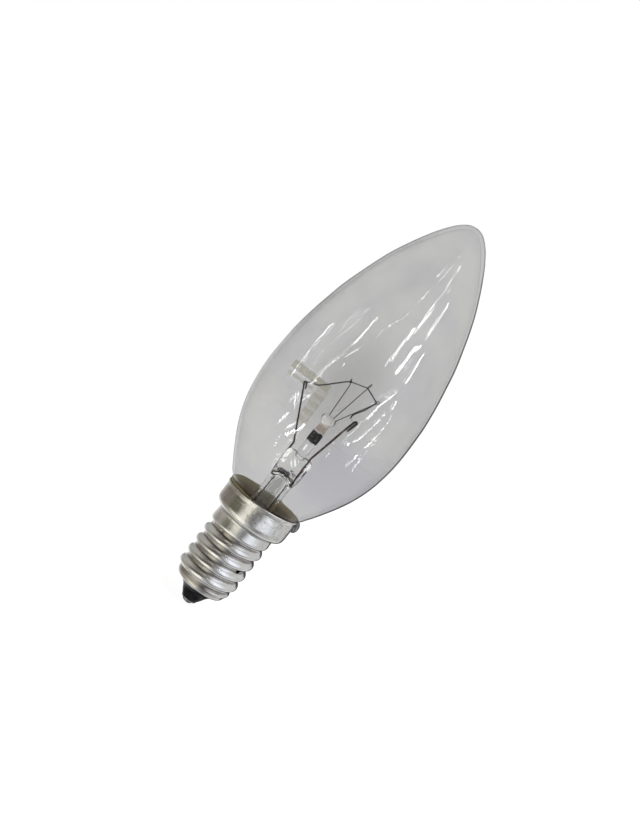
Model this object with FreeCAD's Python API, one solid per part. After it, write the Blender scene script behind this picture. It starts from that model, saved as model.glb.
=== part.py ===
import FreeCAD, Part
import math, os
from FreeCAD import Vector as V

# Clear candle-shaped filament lamp on a small screw cap. Millimetres.
# Z is the cap's axis, up towards the glass tip. The origin is the tip of the centre contact.
# +X is the side of the rim solder.

# ---------------------------------------------------------------- driving dimensions
overall_length = 99.1        # centre contact to glass tip, along the glass axis
glass_wall = 0.6
cap_wall = 0.28
thread_major_r = 6.9         # 13.8 mm across the crests
thread_pitch = 2.822         # 9 threads per inch
thread_round_r = 0.822       # crest and root radius of the rolled thread
crest_height_x = 6.0         # height of a crest on the +X side
run_out = 3.85               # turns from that crest to where the last groove begins to fade
neck_r = 6.78
skirt_r = 8.45
rim_z = 27.75                # mean height of the skirt's rim
rim_slope = math.radians(4.0)    # the rim stands higher on +X
lip_r, lip_z = 4.75, 4.55    # rolled-in lower end of the shell
vent_angle = math.radians(-39.0)
vent_z, vent_r = 13.1, 0.5
contact_r = 1.84
glass_tilt = math.radians(0.51)  # the glass stands a little crooked in the cap
glass_shift = 0.57               # and off centre (at contact level)
stem_x = 0.42                # the stem's axis, in the glass's own frame
lead_r = 0.2
right_lead_r = 0.24          # the right inner lead is the thicker one
outer_lead_r = 0.17
support_r = 0.1
filament_r = 0.16

# glass outline above the cap: (height, radius)
glass_profile = [
    (24.6, 7.08), (25.6, 7.17), (26.4, 7.34), (27.0, 7.58), (27.6, 7.98), (28.3, 8.59), (29.1, 9.33), (30.0, 9.92),
    (30.8, 10.46), (32.5, 11.52), (34.2, 12.52), (35.9, 13.46), (37.6, 14.3), (39.3, 15.05), (41.0, 15.67), (42.7, 16.19),
    (44.4, 16.6), (46.1, 16.9), (47.8, 17.12), (49.4, 17.29), (51.2, 17.41), (53.2, 17.45), (55.5, 17.41), (57.8, 17.3),
    (60.3, 17.13), (62.8, 16.83), (65.3, 16.45), (67.75, 15.98), (70.2, 15.45), (72.7, 14.9), (75.2, 14.23), (77.6, 13.5),
    (80.1, 12.7), (82.5, 11.86), (84.15, 11.22), (85.8, 10.5), (87.4, 9.73), (89.0, 8.93), (90.6, 8.08), (92.25, 7.15),
    (93.9, 6.14), (95.5, 5.02), (96.7, 4.07), (97.6, 3.2), (98.35, 2.3)]
# above the last point the outline is an arc centred on the axis

os.makedirs("parts", exist_ok=True)
written = {}


def save(name, shape, angle=0.0):
    """Check the solid and write it."""
    if shape.ShapeType != "Solid":
        sol = sorted(shape.Solids, key=lambda s: -s.Volume)
        shape = sol[0] if len(sol) == 1 else Part.makeCompound(sol)
    ok = shape.isValid()
    bb = shape.BoundBox
    print("%-22s valid %s solids %d vol %9.3f  x %.2f %.2f  y %.2f %.2f  z %.2f %.2f" % (
        name, ok, len(shape.Solids), shape.Volume, bb.XMin, bb.XMax, bb.YMin, bb.YMax, bb.ZMin, bb.ZMax))
    shape.exportStep("parts/" + name + ".step")
    written[name] = shape
    return shape


def to_cap(shape):
    """From the glass's own frame (its axis on Z) to the cap's frame."""
    s = shape.copy()
    s.translate(V(-glass_shift, 0, 0))
    s.rotate(V(0, 0, 0), V(0, 1, 0), math.degrees(glass_tilt))
    return s


def pt_to_cap(p):
    x, y, z = p[0] - glass_shift, p[1], p[2]
    c, s = math.cos(glass_tilt), math.sin(glass_tilt)
    return V(c * x + s * z, y, -s * x + c * z)


# ---------------------------------------------------------------- helpers
def path_wire(pts, radii):
    """Straight runs joined by tangent arcs."""
    pts = [V(*p) for p in pts]
    n = len(pts)
    if not isinstance(radii, (list, tuple)):
        radii = [radii] * (n - 2)
    edges, cur, length = [], pts[0], 0.0
    for i in range(1, n - 1):
        a, b, c = pts[i - 1], pts[i], pts[i + 1]
        u = (a - b).normalize()
        w = (c - b).normalize()
        ang = math.acos(max(-1.0, min(1.0, u.dot(w))))
        turn = math.pi - ang
        if turn < 1e-3:
            continue
        r = radii[i - 1]
        t = r * math.tan(turn / 2)
        room = min((a - b).Length, (c - b).Length) * 0.48
        if t > room:
            t = room
            r = t / math.tan(turn / 2)
        p1 = b + u * t
        p2 = b + w * t
        bis = (u + w).normalize()
        cen = b + bis * (r / math.sin(ang / 2))
        mid = cen - bis * r
        if (p1 - cur).Length > 1e-6:
            edges.append(Part.LineSegment(cur, p1).toShape())
        edges.append(Part.Arc(p1, mid, p2).toShape())
        cur = p2
    edges.append(Part.LineSegment(cur, pts[-1]).toShape())
    return Part.Wire(edges)


def tube(pts, radii, r, quiet=False):
    w = path_wire(pts, radii)
    d = (V(*pts[1]) - V(*pts[0])).normalize()
    prof = Part.Wire([Part.Circle(V(*pts[0]), d, r).toShape()])
    s = w.makePipeShell([prof], True, False)
    want = math.pi * r * r * w.Length
    if not quiet:
        print("   tube length %.2f  volume %.4f, section x length %.4f, valid %s" % (w.Length, s.Volume, want, s.isValid()))
    return s


def revolve(rz):
    """Solid of revolution about Z from a closed list of (r, z)."""
    poly = Part.makePolygon([V(r, 0, z) for r, z in rz] + [V(rz[0][0], 0, rz[0][1])])
    return Part.Face(poly).revolve(V(0, 0, 0), V(0, 0, 1), 360)


def spline_rz(pts):
    bs = Part.BSplineCurve()
    bs.interpolate(Points=[V(r, 0, z) for r, z in pts])
    return bs.toShape()


def dome_rz(a, top):
    """Arc centred on the axis, from point a to the axis at height top."""
    r, z = a
    h = top - z
    R = (r * r + h * h) / (2 * h)
    half = math.asin(r / R) / 2
    return Part.Arc(V(r, 0, z), V(R * math.sin(half), 0, top - R + R * math.cos(half)), V(0, 0, top)).toShape()


def line_rz(a, b):
    return Part.LineSegment(V(a[0], 0, a[1]), V(b[0], 0, b[1])).toShape()


def revolve_edges(edges):
    return Part.Face(Part.Wire(edges)).revolve(V(0, 0, 0), V(0, 0, 1), 360)


# ---------------------------------------------------------------- screw shell
def thread_depth(x):
    """Radial drop below the crest, x measured along the axis from a crest."""
    h = thread_pitch / 2
    x = abs((x + h) % thread_pitch - h)
    R = thread_round_r
    full = 2 * (R - math.sqrt(R * R - (h / 2) ** 2))
    if x <= h / 2:
        return R - math.sqrt(R * R - x * x)
    return full - (R - math.sqrt(R * R - (h - x) ** 2))


def smooth(z, a, b):
    t = max(0.0, min(1.0, (z - a) / (b - a)))
    return t * t * (3 - 2 * t)


def outer_threaded(theta):
    """(r, z) points of the outer surface from the lip to the neck."""
    pts = []
    # rolled-in lower end: quarter-round from the lip up to the first turn
    n = 14
    for i in range(n):
        a = math.pi / 2 * i / n
        pts.append((lip_r + 1.15 * math.sin(a), lip_z + 1.05 * (1 - math.cos(a))))
    z0, z1 = lip_z + 1.05, 21.2
    m = 124
    for i in range(m + 1):
        z = z0 + (z1 - z0) * i / m
        env = 5.9 + (thread_major_r - 5.9) * smooth(z, 5.3, 7.3)
        env += (neck_r - thread_major_r) * smooth(z, 19.0, 20.6)
        crest = crest_height_x + thread_pitch * theta / (2 * math.pi)
        # the last groove runs out over half a turn, from +X round the back
        turns = math.floor((z - crest) / thread_pitch) + theta / (2 * math.pi)
        amp = smooth(z, 5.2, 7.4) * (1 - smooth(turns, run_out, run_out + 0.5))
        pts.append((env - amp * thread_depth(z - crest), z))
    return pts


def outer_skirt():
    """(r, z) points of the outer surface from the neck to the rim, before the rim's slope."""
    pts = [(neck_r, 21.2), (neck_r + 0.01, 21.45), (neck_r + 0.05, 21.67)]
    # small fillet at the foot of the shoulder
    pts += [(neck_r + 0.17, 21.82), (neck_r + 0.38, 21.91), (neck_r + 0.65, 22.0), (neck_r + 0.93, 22.13), (neck_r + 1.19, 22.32),
            (neck_r + 1.41, 22.57), (neck_r + 1.56, 22.87), (skirt_r - 0.03, 23.24), (skirt_r, 23.64)]
    z = 24.0
    while z < 26.5:
        pts.append((skirt_r, z))
        z += 0.4
    # the rim is turned out a little into a narrow lip
    pts += [(skirt_r, 26.7), (skirt_r + 0.02, 26.93), (skirt_r + 0.08, 27.13), (skirt_r + 0.16, 27.3), (skirt_r + 0.22, 27.46),
            (skirt_r + 0.24, 27.62), (skirt_r + 0.22, rim_z)]
    return pts


def offset_in(pts, d):
    """Parallel curve at distance d on the inner side."""
    out = []
    n = len(pts)
    for i, (r, z) in enumerate(pts):
        a = pts[max(0, i - 1)]
        b = pts[min(n - 1, i + 1)]
        tr, tz = b[0] - a[0], b[1] - a[1]
        L = math.hypot(tr, tz)
        out.append((r - d * tz / L, z + d * tr / L))
    return out


def slope_rim(p, theta):
    """The skirt's height grows with its distance above the shoulder, to the rim's slope."""
    r, z = p
    k = smooth(z, 22.4, 27.3)
    return (r, z + k * r * math.cos(theta) * math.tan(rim_slope))


def fit_curve(pts3):
    bs = Part.BSplineCurve()
    n = len(pts3)
    bs.interpolate(Points=pts3, Parameters=[float(i) for i in range(n)])
    return bs.toShape()


def section(theta):
    c, s = math.cos(theta), math.sin(theta)

    def p3(p):
        return V(p[0] * c, p[0] * s, p[1])
    o1 = outer_threaded(theta)
    o2 = outer_skirt()
    # joined offset, so that the inner curves meet
    both = o1 + o2[1:]
    inn = offset_in(both, cap_wall)
    # keep the lip's end face level and at one radius
    inn[0] = (lip_r, lip_z + cap_wall)
    i1, i2 = inn[:len(o1)], inn[len(o1) - 1:]
    o2 = [slope_rim(p, theta) for p in o2]
    i2 = [slope_rim(p, theta) for p in i2]
    i2[-1] = (i2[-1][0], o2[-1][1] - 0.0)
    O1, O2 = [p3(p) for p in o1], [p3(p) for p in o2]
    I1, I2 = [p3(p) for p in i1], [p3(p) for p in i2]
    return [fit_curve(O1), fit_curve(O2), Part.LineSegment(O2[-1], I2[-1]).toShape(), fit_curve(I2[::-1]), fit_curve(I1[::-1]),
            Part.LineSegment(I1[0], O1[0]).toShape()]


def grid_surface(curves):
    """Closed surface through one spline of each section: the poles are joined round by periodic cubic splines."""
    n = len(curves)
    cs = [c.Curve for c in curves]
    m = cs[0].NbPoles
    knots = cs[0].getKnots()
    mults = cs[0].getMultiplicities()
    poles = [c.getPoles() for c in cs]
    # periodic cubic interpolation at uniform parameters: (p[i-1] + 4 p[i] + p[i+1]) / 6 = q[i]
    cols = []
    for j in range(m):
        q = [poles[i][j] for i in range(n)]
        x = [V(p) for p in q]
        for _ in range(60):
            x = [(q[i] * 6 - x[i - 1] - x[(i + 1) % n]) * 0.25 for i in range(n)]
        cols.append(x)
    bs = Part.BSplineSurface()
    grid = [[cols[j][i] for j in range(m)] for i in range(n)]
    bs.buildFromPolesMultsKnots(grid, [1] * (n + 1), mults, [float(i) for i in range(n + 1)], knots, True, False, 3, cs[0].Degree)
    return bs


n_sec = 32
secs = [section(2 * math.pi * i / n_sec) for i in range(n_sec)]
faces = []
for k in range(6):
    cur = [s[k] for s in secs]
    if k in (2, 5):
        fixed = []
        for e in cur:
            b = e.Curve.toBSpline(e.FirstParameter, e.LastParameter)
            c2 = Part.BSplineCurve()
            c2.buildFromPolesMultsKnots([b.value(b.FirstParameter), b.value(b.LastParameter)], [2, 2], [0.0, 1.0], False, 1)
            fixed.append(c2.toShape())
        cur = fixed
    faces.append(grid_surface(cur).toShape())
sewn = Part.makeShell(faces)
sewn.sewShape()
shell = Part.makeSolid(sewn.Shells[0] if sewn.Shells else Part.Shell(sewn.Faces))
if shell.Volume < 0:
    shell.reverse()
fixer_ok = shell.isValid()
print("shell solid valid", fixer_ok, "volume", shell.Volume)
# vent hole in the threaded wall
vd = V(math.cos(vent_angle), math.sin(vent_angle), 0)
vent = Part.makeCylinder(vent_r, 3.0, vd * 5.2 + V(0, 0, vent_z), vd)
shell_v = shell.cut(vent)
save("screw_shell", shell_v)

# ---------------------------------------------------------------- centre contact end
bore_r = 0.75
ins = [(bore_r, 7.4), (bore_r, 0.95), (contact_r - 0.34, 0.95), (contact_r - 0.12, 1.08), (1.9, 1.25), (2.2, 1.63), (2.56, 2.2),
       (2.96, 2.88), (3.42, 3.48), (3.95, 3.97), (4.43, 4.27), (4.68, 4.43), (lip_r, lip_z), (lip_r, lip_z + cap_wall),
       (4.95, 5.05), (5.05, 5.4), (5.05, 6.3), (4.6, 6.9), (3.2, 7.3)]
save("cap_insulator", revolve(ins))
plate = revolve([(0.55, 0.95), (0.55, 0.6), (1.28, 0.6), (1.52, 0.67), (1.72, 0.82), (contact_r, 1.02), (contact_r - 0.12, 1.08),
                 (contact_r - 0.34, 0.95)])
save("contact_plate", plate)

contact_lead_pts_low = (0.0, 0.0, 0.35)
solder_dome = revolve([(0, 0), (0.4, 0.0), (0.74, 0.06), (1.0, 0.17), (1.19, 0.34), (1.28, 0.6), (0.55, 0.6), (0.55, 0.95), (0.7, 0.95), (0.7, 1.05),
                       (0, 1.05)])

# ---------------------------------------------------------------- glass
gp = glass_profile
tip_out = overall_length
outer_pts = [(r, z) for z, r in gp]
neck_low = 23.0
inner_pts = []
for i, (r, z) in enumerate(outer_pts):
    a = outer_pts[max(0, i - 1)]
    b = outer_pts[min(len(outer_pts) - 1, i + 1)]
    tr, tz = b[0] - a[0], b[1] - a[1]
    L = math.hypot(tr, tz)
    w = glass_wall + 0.3 * smooth(z, 88.0, 98.0)
    ri, zi = r - w * tz / L, z + w * tr / L
    if ri > 1.2 and (not inner_pts or zi > inner_pts[-1][1] + 0.2):
        inner_pts.append((ri, zi))
tip_out = overall_length
tip_in = overall_length - glass_wall - 0.35
print("inner end", inner_pts[-1], "tip", tip_in)
out_edge = spline_rz(outer_pts)
in_edge = spline_rz(inner_pts)
out_dome = dome_rz(outer_pts[-1], tip_out)
in_dome = dome_rz(inner_pts[-1], tip_in)
o_start, i_start = outer_pts[0], inner_pts[0]
edges = [out_edge, out_dome, line_rz((0, tip_out), (0, tip_in)), in_dome, in_edge, line_rz(i_start, (i_start[0], neck_low + 0.7)),
         line_rz((i_start[0], neck_low + 0.7), (5.0, neck_low + 0.7)), line_rz((5.0, neck_low + 0.7), (5.0, neck_low)),
         line_rz((5.0, neck_low), (6.7, neck_low)),
         Part.Arc(V(6.7, 0, neck_low), V(6.97, 0, neck_low + 0.13), V(o_start[0], 0, neck_low + 0.4)).toShape(),
         line_rz((o_start[0], neck_low + 0.4), o_start)]
glass = revolve_edges(edges)
flare_rim_r = 5.9
glass = glass.cut(Part.makeCylinder(flare_rim_r, 3.0, V(stem_x, 0, neck_low - 1.5)))
filled = revolve_edges([out_edge, out_dome, line_rz((0, tip_out), (0, neck_low)), line_rz((0, neck_low), (6.7, neck_low)),
                        Part.Arc(V(6.7, 0, neck_low), V(6.97, 0, neck_low + 0.13), V(o_start[0], 0, neck_low + 0.4)).toShape(),
                        line_rz((o_start[0], neck_low + 0.4), o_start)])
filled_cap = to_cap(filled)
save("glass_envelope", to_cap(glass))

# ---------------------------------------------------------------- wires, in the glass's own frame (x right, y back, z up)
press_low, press_high = 34.3, 40.1
left_seal = [(-2.42, 0, 34.9), (-2.42, 0, 38.9)]
right_seal = [(2.55, 0, 34.9), (2.55, 0, 38.9)]
# inner leads
left_in = [(-2.42, 0, 38.9), (-2.42, 0, 41.2), (-8.45, -1.5, 52.7)]
right_in = [(2.55, 0, 38.9), (2.55, 0, 40.7), (3.5, -2.2, 45.9), (4.15, -4.15, 49.8), (4.84, -5.6, 53.0)]
save("seal_wire_left", to_cap(tube(left_seal, 0, lead_r)))
save("seal_wire_right", to_cap(tube(right_seal, 0, lead_r)))


def vec(a, b):
    return V(b[0] - a[0], b[1] - a[1], b[2] - a[2])


def folded_end(pts, side, fold_len, r):
    """The lead's end is folded back on itself round the filament's tail."""
    d = vec(pts[-2], pts[-1]).normalize()
    e = V(*side)
    e = (e - d * e.dot(d)).normalize()
    g = r * 1.22
    end = V(*pts[-1])
    a = end + d * (g * 0.3)
    b = a + e * (2 * g)
    c = b - d * fold_len
    out = [tuple(p) for p in pts[:-1]] + [(a.x, a.y, a.z), (b.x, b.y, b.z), (c.x, c.y, c.z)]
    return out


left_pts = folded_end(left_in, (0.8, 0.0, 0.45), 1.5, lead_r)
right_pts = folded_end(right_in, (0.95, 0.3, 0), 3.0, right_lead_r)
lead_left = tube(left_pts, [0.9, lead_r * 1.22, lead_r * 1.22], lead_r)
lead_right = tube(right_pts, [1.5, 8, 8, right_lead_r * 1.22, right_lead_r * 1.22], right_lead_r)

# outer leads, copper: inside the flare tube
flare_left = [(-2.42, 0, 34.9), (-2.42, 0, 34.35), (-1.28, 0, 33.0), (-1.28, 0, 27.0), (-1.5, 0.3, 21.5), (-1.45, 0.6, 16.0), (-0.1, 0.25, 12.0)]
low_end = V(0, 0, 0.45)
# lower end is straight down the insulator's bore: given in the cap's frame, brought to the glass frame


def pt_to_glass(p):
    c, s = math.cos(glass_tilt), math.sin(glass_tilt)
    x = c * p[0] - s * p[2]
    z = s * p[0] + c * p[2]
    return (x + glass_shift, p[1], z)


contact_lead = flare_left + [pt_to_glass((0.0, 0.0, 8.2)), pt_to_glass((0.0, 0.0, 0.45))]
outer_contact = tube(contact_lead, [0.3, 0.8, 3, 6, 4, 4, 1.5], outer_lead_r)
# the other lead: down the flare, out under the glass neck's edge, up between neck and skirt
rim_lead = [(2.55, 0, 34.9), (2.55, 0, 34.35), (2.1, 0, 33.0), (2.1, 0, 27.0), (3.0, 0, 22.65), (4.5, 0, 22.42)]
rim_lead += [pt_to_glass(p) for p in ((6.6, 0, 22.58), (7.1, 0, 22.66), (7.82, 0, 23.4), (7.88, 0, 27.6), (8.34, 0, 28.5))]
outer_rim = tube(rim_lead, [0.3, 0.8, 3, 0.9, 1.2, 0.6, 0.5, 0.5, 2.5], outer_lead_r)

# ---------------------------------------------------------------- stem
tube_o, tube_i = 2.72, 2.05
cane_r = 1.2
press_x = 0.55               # the press stands a little off the stem's axis
# (height, half width, half thickness, squareness, centre): a round tube that is pinched flat at its top
stem_rows = [(23.7, 5.9, 5.9, 2.0, 0.0), (23.95, 5.25, 5.25, 2.0, 0.0), (24.3, 4.6, 4.6, 2.0, 0.0), (24.8, 4.02, 4.02, 2.0, 0.0),
             (25.5, 3.52, 3.52, 2.0, 0.0), (26.4, 3.14, 3.14, 2.0, 0.0), (27.5, 2.9, 2.9, 2.0, 0.0), (28.8, 2.77, 2.77, 2.0, 0.0),
             (30.2, 2.72, 2.72, 2.0, 0.0), (31.6, 2.72, 2.72, 2.0, 0.0), (32.7, 2.73, 2.68, 2.0, 0.0), (33.4, 2.82, 2.48, 2.1, 0.2),
             (34.0, 2.97, 2.1, 2.3, 0.6), (34.6, 3.12, 1.75, 2.6, 0.9), (35.3, 3.19, 1.52, 2.9, 1.0), (36.3, 3.2, 1.45, 3.0, 1.0),
             (37.5, 3.2, 1.45, 3.0, 1.0), (38.6, 3.2, 1.45, 3.0, 1.0), (39.2, 3.18, 1.44, 3.0, 1.0), (39.6, 3.11, 1.38, 3.0, 1.0),
             (39.9, 2.98, 1.27, 2.8, 1.0)]


def ring(cx, hx, hy, p, z, n):
    out = []
    for k in range(n):
        a = 2 * math.pi * k / n
        c, s = math.cos(a), math.sin(a)
        out.append(V(cx + hx * math.copysign(abs(c) ** (2 / p), c), hy * math.copysign(abs(s) ** (2 / p), s), z))
    return out


def skin(rings):
    """Closed face through a stack of rings of points."""
    n = len(rings[0])
    return grid_surface([fit_curve([r[k] for r in rings]) for k in range(n)]).toShape()


def straight_skin(r0, r1):
    n = len(r0)
    cur = []
    for k in range(n):
        b = Part.BSplineCurve()
        b.buildFromPolesMultsKnots([r0[k], r1[k]], [2, 2], [0.0, 1.0], False, 1)
        cur.append(b.toShape())
    return grid_surface(cur).toShape()


def rim_edge(face, top):
    """The closed edge at a face's upper or lower end."""
    ed = sorted([e for e in face.Edges if e.isClosed()], key=lambda e: e.BoundBox.ZMin)
    return ed[-1] if top else ed[0]


n_st = 48
rows = [ring(stem_x + (press_x - stem_x) * sh, hx, hy, p, z, n_st) for z, hx, hy, p, sh in stem_rows]
low_ring = ring(stem_x, 5.9, 5.9, 2.0, neck_low + 0.05, n_st)
side_face = skin(rows)
foot_face = straight_skin(low_ring, rows[0])
# rounded shoulder of the press up to the cane's seat
top_rows = [rows[-1], ring(press_x, 2.8, 1.12, 2.7, 40.03, n_st), ring(press_x, 2.5, 0.9, 2.6, 40.1, n_st)]
shoulder_face = skin(top_rows)
caps = [Part.Face(Part.Wire([rim_edge(foot_face, False)])), Part.Face(Part.Wire([rim_edge(shoulder_face, True)]))]
stem_shell = Part.makeShell([foot_face, side_face, shoulder_face] + caps)
stem_shell.sewShape()
stem = Part.makeSolid(stem_shell.Shells[0] if stem_shell.Shells else Part.Shell(stem_shell.Faces))
if stem.Volume < 0:
    stem.reverse()
print("stem body valid", stem.isValid(), stem.Volume)
bore = revolve_edges([spline_rz([(5.25, neck_low), (4.5, 23.6), (3.75, 24.2), (3.1, 25.0), (2.62, 26.0), (2.3, 27.2), (2.12, 28.6), (tube_i, 30.2),
                                 (tube_i, 31.6), (tube_i, 32.4)]),
                      spline_rz([(tube_i, 32.4), (1.98, 32.9), (1.75, 33.4), (1.35, 33.9), (0.8, 34.25), (0.4, 34.35)]),
                      line_rz((0.4, 34.35), (0, 34.35)), line_rz((0, 34.35), (0, neck_low)), line_rz((0, neck_low), (5.25, neck_low))])
bore.translate(V(stem_x, 0, 0))
stem = stem.cut(bore)
print("bored", stem.isValid(), stem.Volume)
ex_x = stem_x - 0.1
ex_o, ex_i = 1.2, 0.72
# seats of the cane and of the exhaust tube, and the hole blown through for pumping
cane_seat = Part.makeCylinder(cane_r, 2.0, V(stem_x, 0, press_high - 1.3))
ex_seat = Part.makeCylinder(ex_o, 3.0, V(ex_x, 0, 31.9))
blow = Part.makeCylinder(0.55, 3.0, V(stem_x - 0.2, 0, 36.0), V(0, -1, 0)).fuse(Part.makeCylinder(0.6, 1.6, V(ex_x, 0, 34.6)))
for tool in (blow, cane_seat, ex_seat):
    stem = stem.cut(tool)
    print("stem cut", stem.isValid(), round(stem.Volume, 3))
for wsol in (tube(left_seal, 0, lead_r, True), tube(right_seal, 0, lead_r, True), lead_left, lead_right, outer_contact, outer_rim):
    stem = stem.cut(wsol)
    print("stem wire", stem.isValid(), round(stem.Volume, 3))
stem_solids = sorted(stem.Solids, key=lambda s: -s.Volume)
print("stem solids", [round(s.Volume, 3) for s in stem_solids])
save("stem_flare", to_cap(stem_solids[0]))
save("lead_wire_left", to_cap(lead_left))
save("lead_wire_right", to_cap(lead_right))

# exhaust tube: sealed off inside the cap
ex = revolve([(ex_i, 34.9), (ex_i, 18.3), (0.66, 18.05), (0.5, 17.8), (0.3, 17.62), (0, 17.55), (0, 16.9), (0.35, 16.95), (0.65, 17.1), (0.9, 17.36),
              (1.08, 17.7), (1.17, 18.05), (ex_o, 18.4), (ex_o, 34.9)])
ex.translate(V(ex_x, 0, 0))
save("exhaust_tube", to_cap(sorted(ex.Solids, key=lambda s: -s.Volume)[0]))

# ---------------------------------------------------------------- supports and filament
F_left = V(-8.1, -1.45, 52.75)
S1 = V(-0.81, 5.8, 58.16)
S2 = V(2.82, 6.4, 59.3)
S3 = V(6.21, 3.6, 58.15)
fil = [(-8.72, -1.56, 52.1), (-8.0, -1.3, 52.95), (-5.62, -0.3, 53.86), (-4.18, 1.5, 55.18), (-1.66, 5.0, 57.6), tuple(S1), (1.54, 6.3, 58.87), tuple(S2),
       (4.5, 5.0, 58.74), tuple(S3), (5.08, -0.5, 55.75), (3.65, -4.0, 53.76), (3.62, -5.3, 52.95), (4.5, -5.75, 52.6)]


def hook_path(base, F, T, g, reach=0.35):
    d = (F - base)
    T = V(T)
    T.normalize()
    d = d - T * d.dot(T) * 0.9
    d.normalize()
    e = T.cross(d)
    e.normalize()
    a = F - e * g - d * 0.7
    b = F - e * g + d * (reach + g)
    c = F + e * g + d * (reach + g)
    z = F + e * g - d * 0.35
    return [tuple(base), tuple(a), tuple(b), tuple(c), tuple(z)]


def tan_at(k):
    return V(*fil[k + 1]) - V(*fil[k - 1])


hook_gap = filament_r + support_r + 0.03
sup = {"support_wire_left": (V(-0.05, 0.35, 49.5), S1, tan_at(5), 0.35), "support_wire_middle": (V(0.95, 0.45, 49.5), S2, tan_at(7), 0.95),
       "support_wire_right": (V(1.4, 0.1, 49.4), S3, tan_at(9), 0.35)}
supports = {}
for name, (base, F, T, reach) in sup.items():
    supports[name] = tube(hook_path(base, F, T, hook_gap, reach), [0.8, hook_gap, hook_gap], support_r)
    save(name, to_cap(supports[name]))

filament = tube(fil, [0.3, 1.5, 2.0, 1.5, 0.35, 1.2, 0.4, 1.2, 0.4, 3, 1.2, 0.35], filament_r)
filament = filament.cut(lead_left).cut(lead_right)
for s in supports.values():
    filament = filament.cut(s)
fs = sorted(filament.Solids, key=lambda s: -s.Volume)
print("filament solids", [round(s.Volume, 4) for s in fs])
save("filament", to_cap(fs[0]))

# glass cane with its button
cz0 = press_high - 1.3
cane = revolve_edges([line_rz((0, cz0), (cane_r, cz0)), line_rz((cane_r, cz0), (cane_r, 46.2)),
                      spline_rz([(cane_r, 46.2), (1.12, 46.8), (1.04, 47.4), (1.08, 48.0), (1.3, 48.5), (1.62, 48.95), (1.78, 49.4), (1.68, 49.85),
                                 (1.3, 50.18), (0.8, 50.34), (0.4, 50.38)]), line_rz((0.4, 50.38), (0, 50.38)), line_rz((0, 50.38), (0, cz0))])
cane.translate(V(stem_x, 0, 0))
band = revolve([(cane_r, 43.45), (cane_r + 0.09, 43.5), (cane_r + 0.1, 44.7), (cane_r + 0.08, 46.0), (cane_r, 46.05)])
band.translate(V(stem_x, 0, 0))
for s in supports.values():
    cane = cane.cut(s)
save("glass_cane", to_cap(sorted(cane.Solids, key=lambda s: -s.Volume)[0]))
save("getter_band", to_cap(band))

# ---------------------------------------------------------------- what joins the cap: leads, cement, solder
oc_cap = to_cap(outer_contact)
# its end is squeezed flat between the rim and the glass
lead_end = Part.makeBox(3, 2, 3, V(7.5, -1, 26.5)).common(filled_cap)
or_cap = sorted(to_cap(outer_rim).cut(lead_end).Solids, key=lambda s: -s.Volume)[0]
save("outer_lead_contact", oc_cap)
save("outer_lead_rim", or_cap)

solder = solder_dome.cut(plate).cut(oc_cap)
save("contact_solder", sorted(solder.Solids, key=lambda s: -s.Volume)[0])

cem_r = skirt_r - cap_wall - 0.003
column = revolve([(6.3, 23.85), (6.3, 31.0), (cem_r, 31.0), (cem_r, 24.0), (8.0, 23.35), (7.6, 23.0), (7.35, 23.0)])
slab = Part.makeBox(60, 60, 30, V(-30, -30, 0))
slab.rotate(V(0, 0, 0), V(0, 1, 0), -math.degrees(rim_slope))
slab.translate(V(0, 0, rim_z))
column = column.cut(slab)
# what was pressed out above the rim: its top is nearly level, so it stands highest where the rim is low
collar = revolve([(0, 0), (skirt_r - 0.02, 0), (skirt_r + 0.1, 0.22), (skirt_r + 0.2, 0.55), (skirt_r + 0.22, 0.9), (skirt_r + 0.15, 1.6), (0, 1.6)])
collar.rotate(V(0, 0, 0), V(0, 1, 0), -math.degrees(rim_slope))
collar.translate(V(0, 0, rim_z))
level = Part.makeBox(60, 60, 30, V(-30, -30, 0))
level.rotate(V(0, 0, 0), V(1, 0, 0), 1.2)
level.translate(V(0, 0, 28.3))
collar = collar.cut(level)
ball = Part.makeSphere(1.0)
m = FreeCAD.Matrix()
m.A11, m.A22, m.A33 = 0.94, 0.9, 1.45
bead = ball.transformGeometry(m)
bead.translate(V(skirt_r + 0.1, 0, 27.05))
bead = bead.cut(shell).cut(filled_cap).cut(or_cap)
bs_ = sorted(bead.Solids, key=lambda s: -s.Volume)
print("bead solids", [round(s.Volume, 3) for s in bs_])
bead = bs_[0]
save("side_solder", bead)
cement = column.fuse(collar).removeSplitter().cut(filled_cap).cut(or_cap).cut(bead)
cs = sorted(cement.Solids, key=lambda s: -s.Volume)
print("cement solids", [round(s.Volume, 3) for s in cs])
save("cap_cement", cs[0])

print("nodes", len(written))
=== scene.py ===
import math

import bmesh
import bpy
import numpy as np
from mathutils import Matrix, Vector


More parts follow.
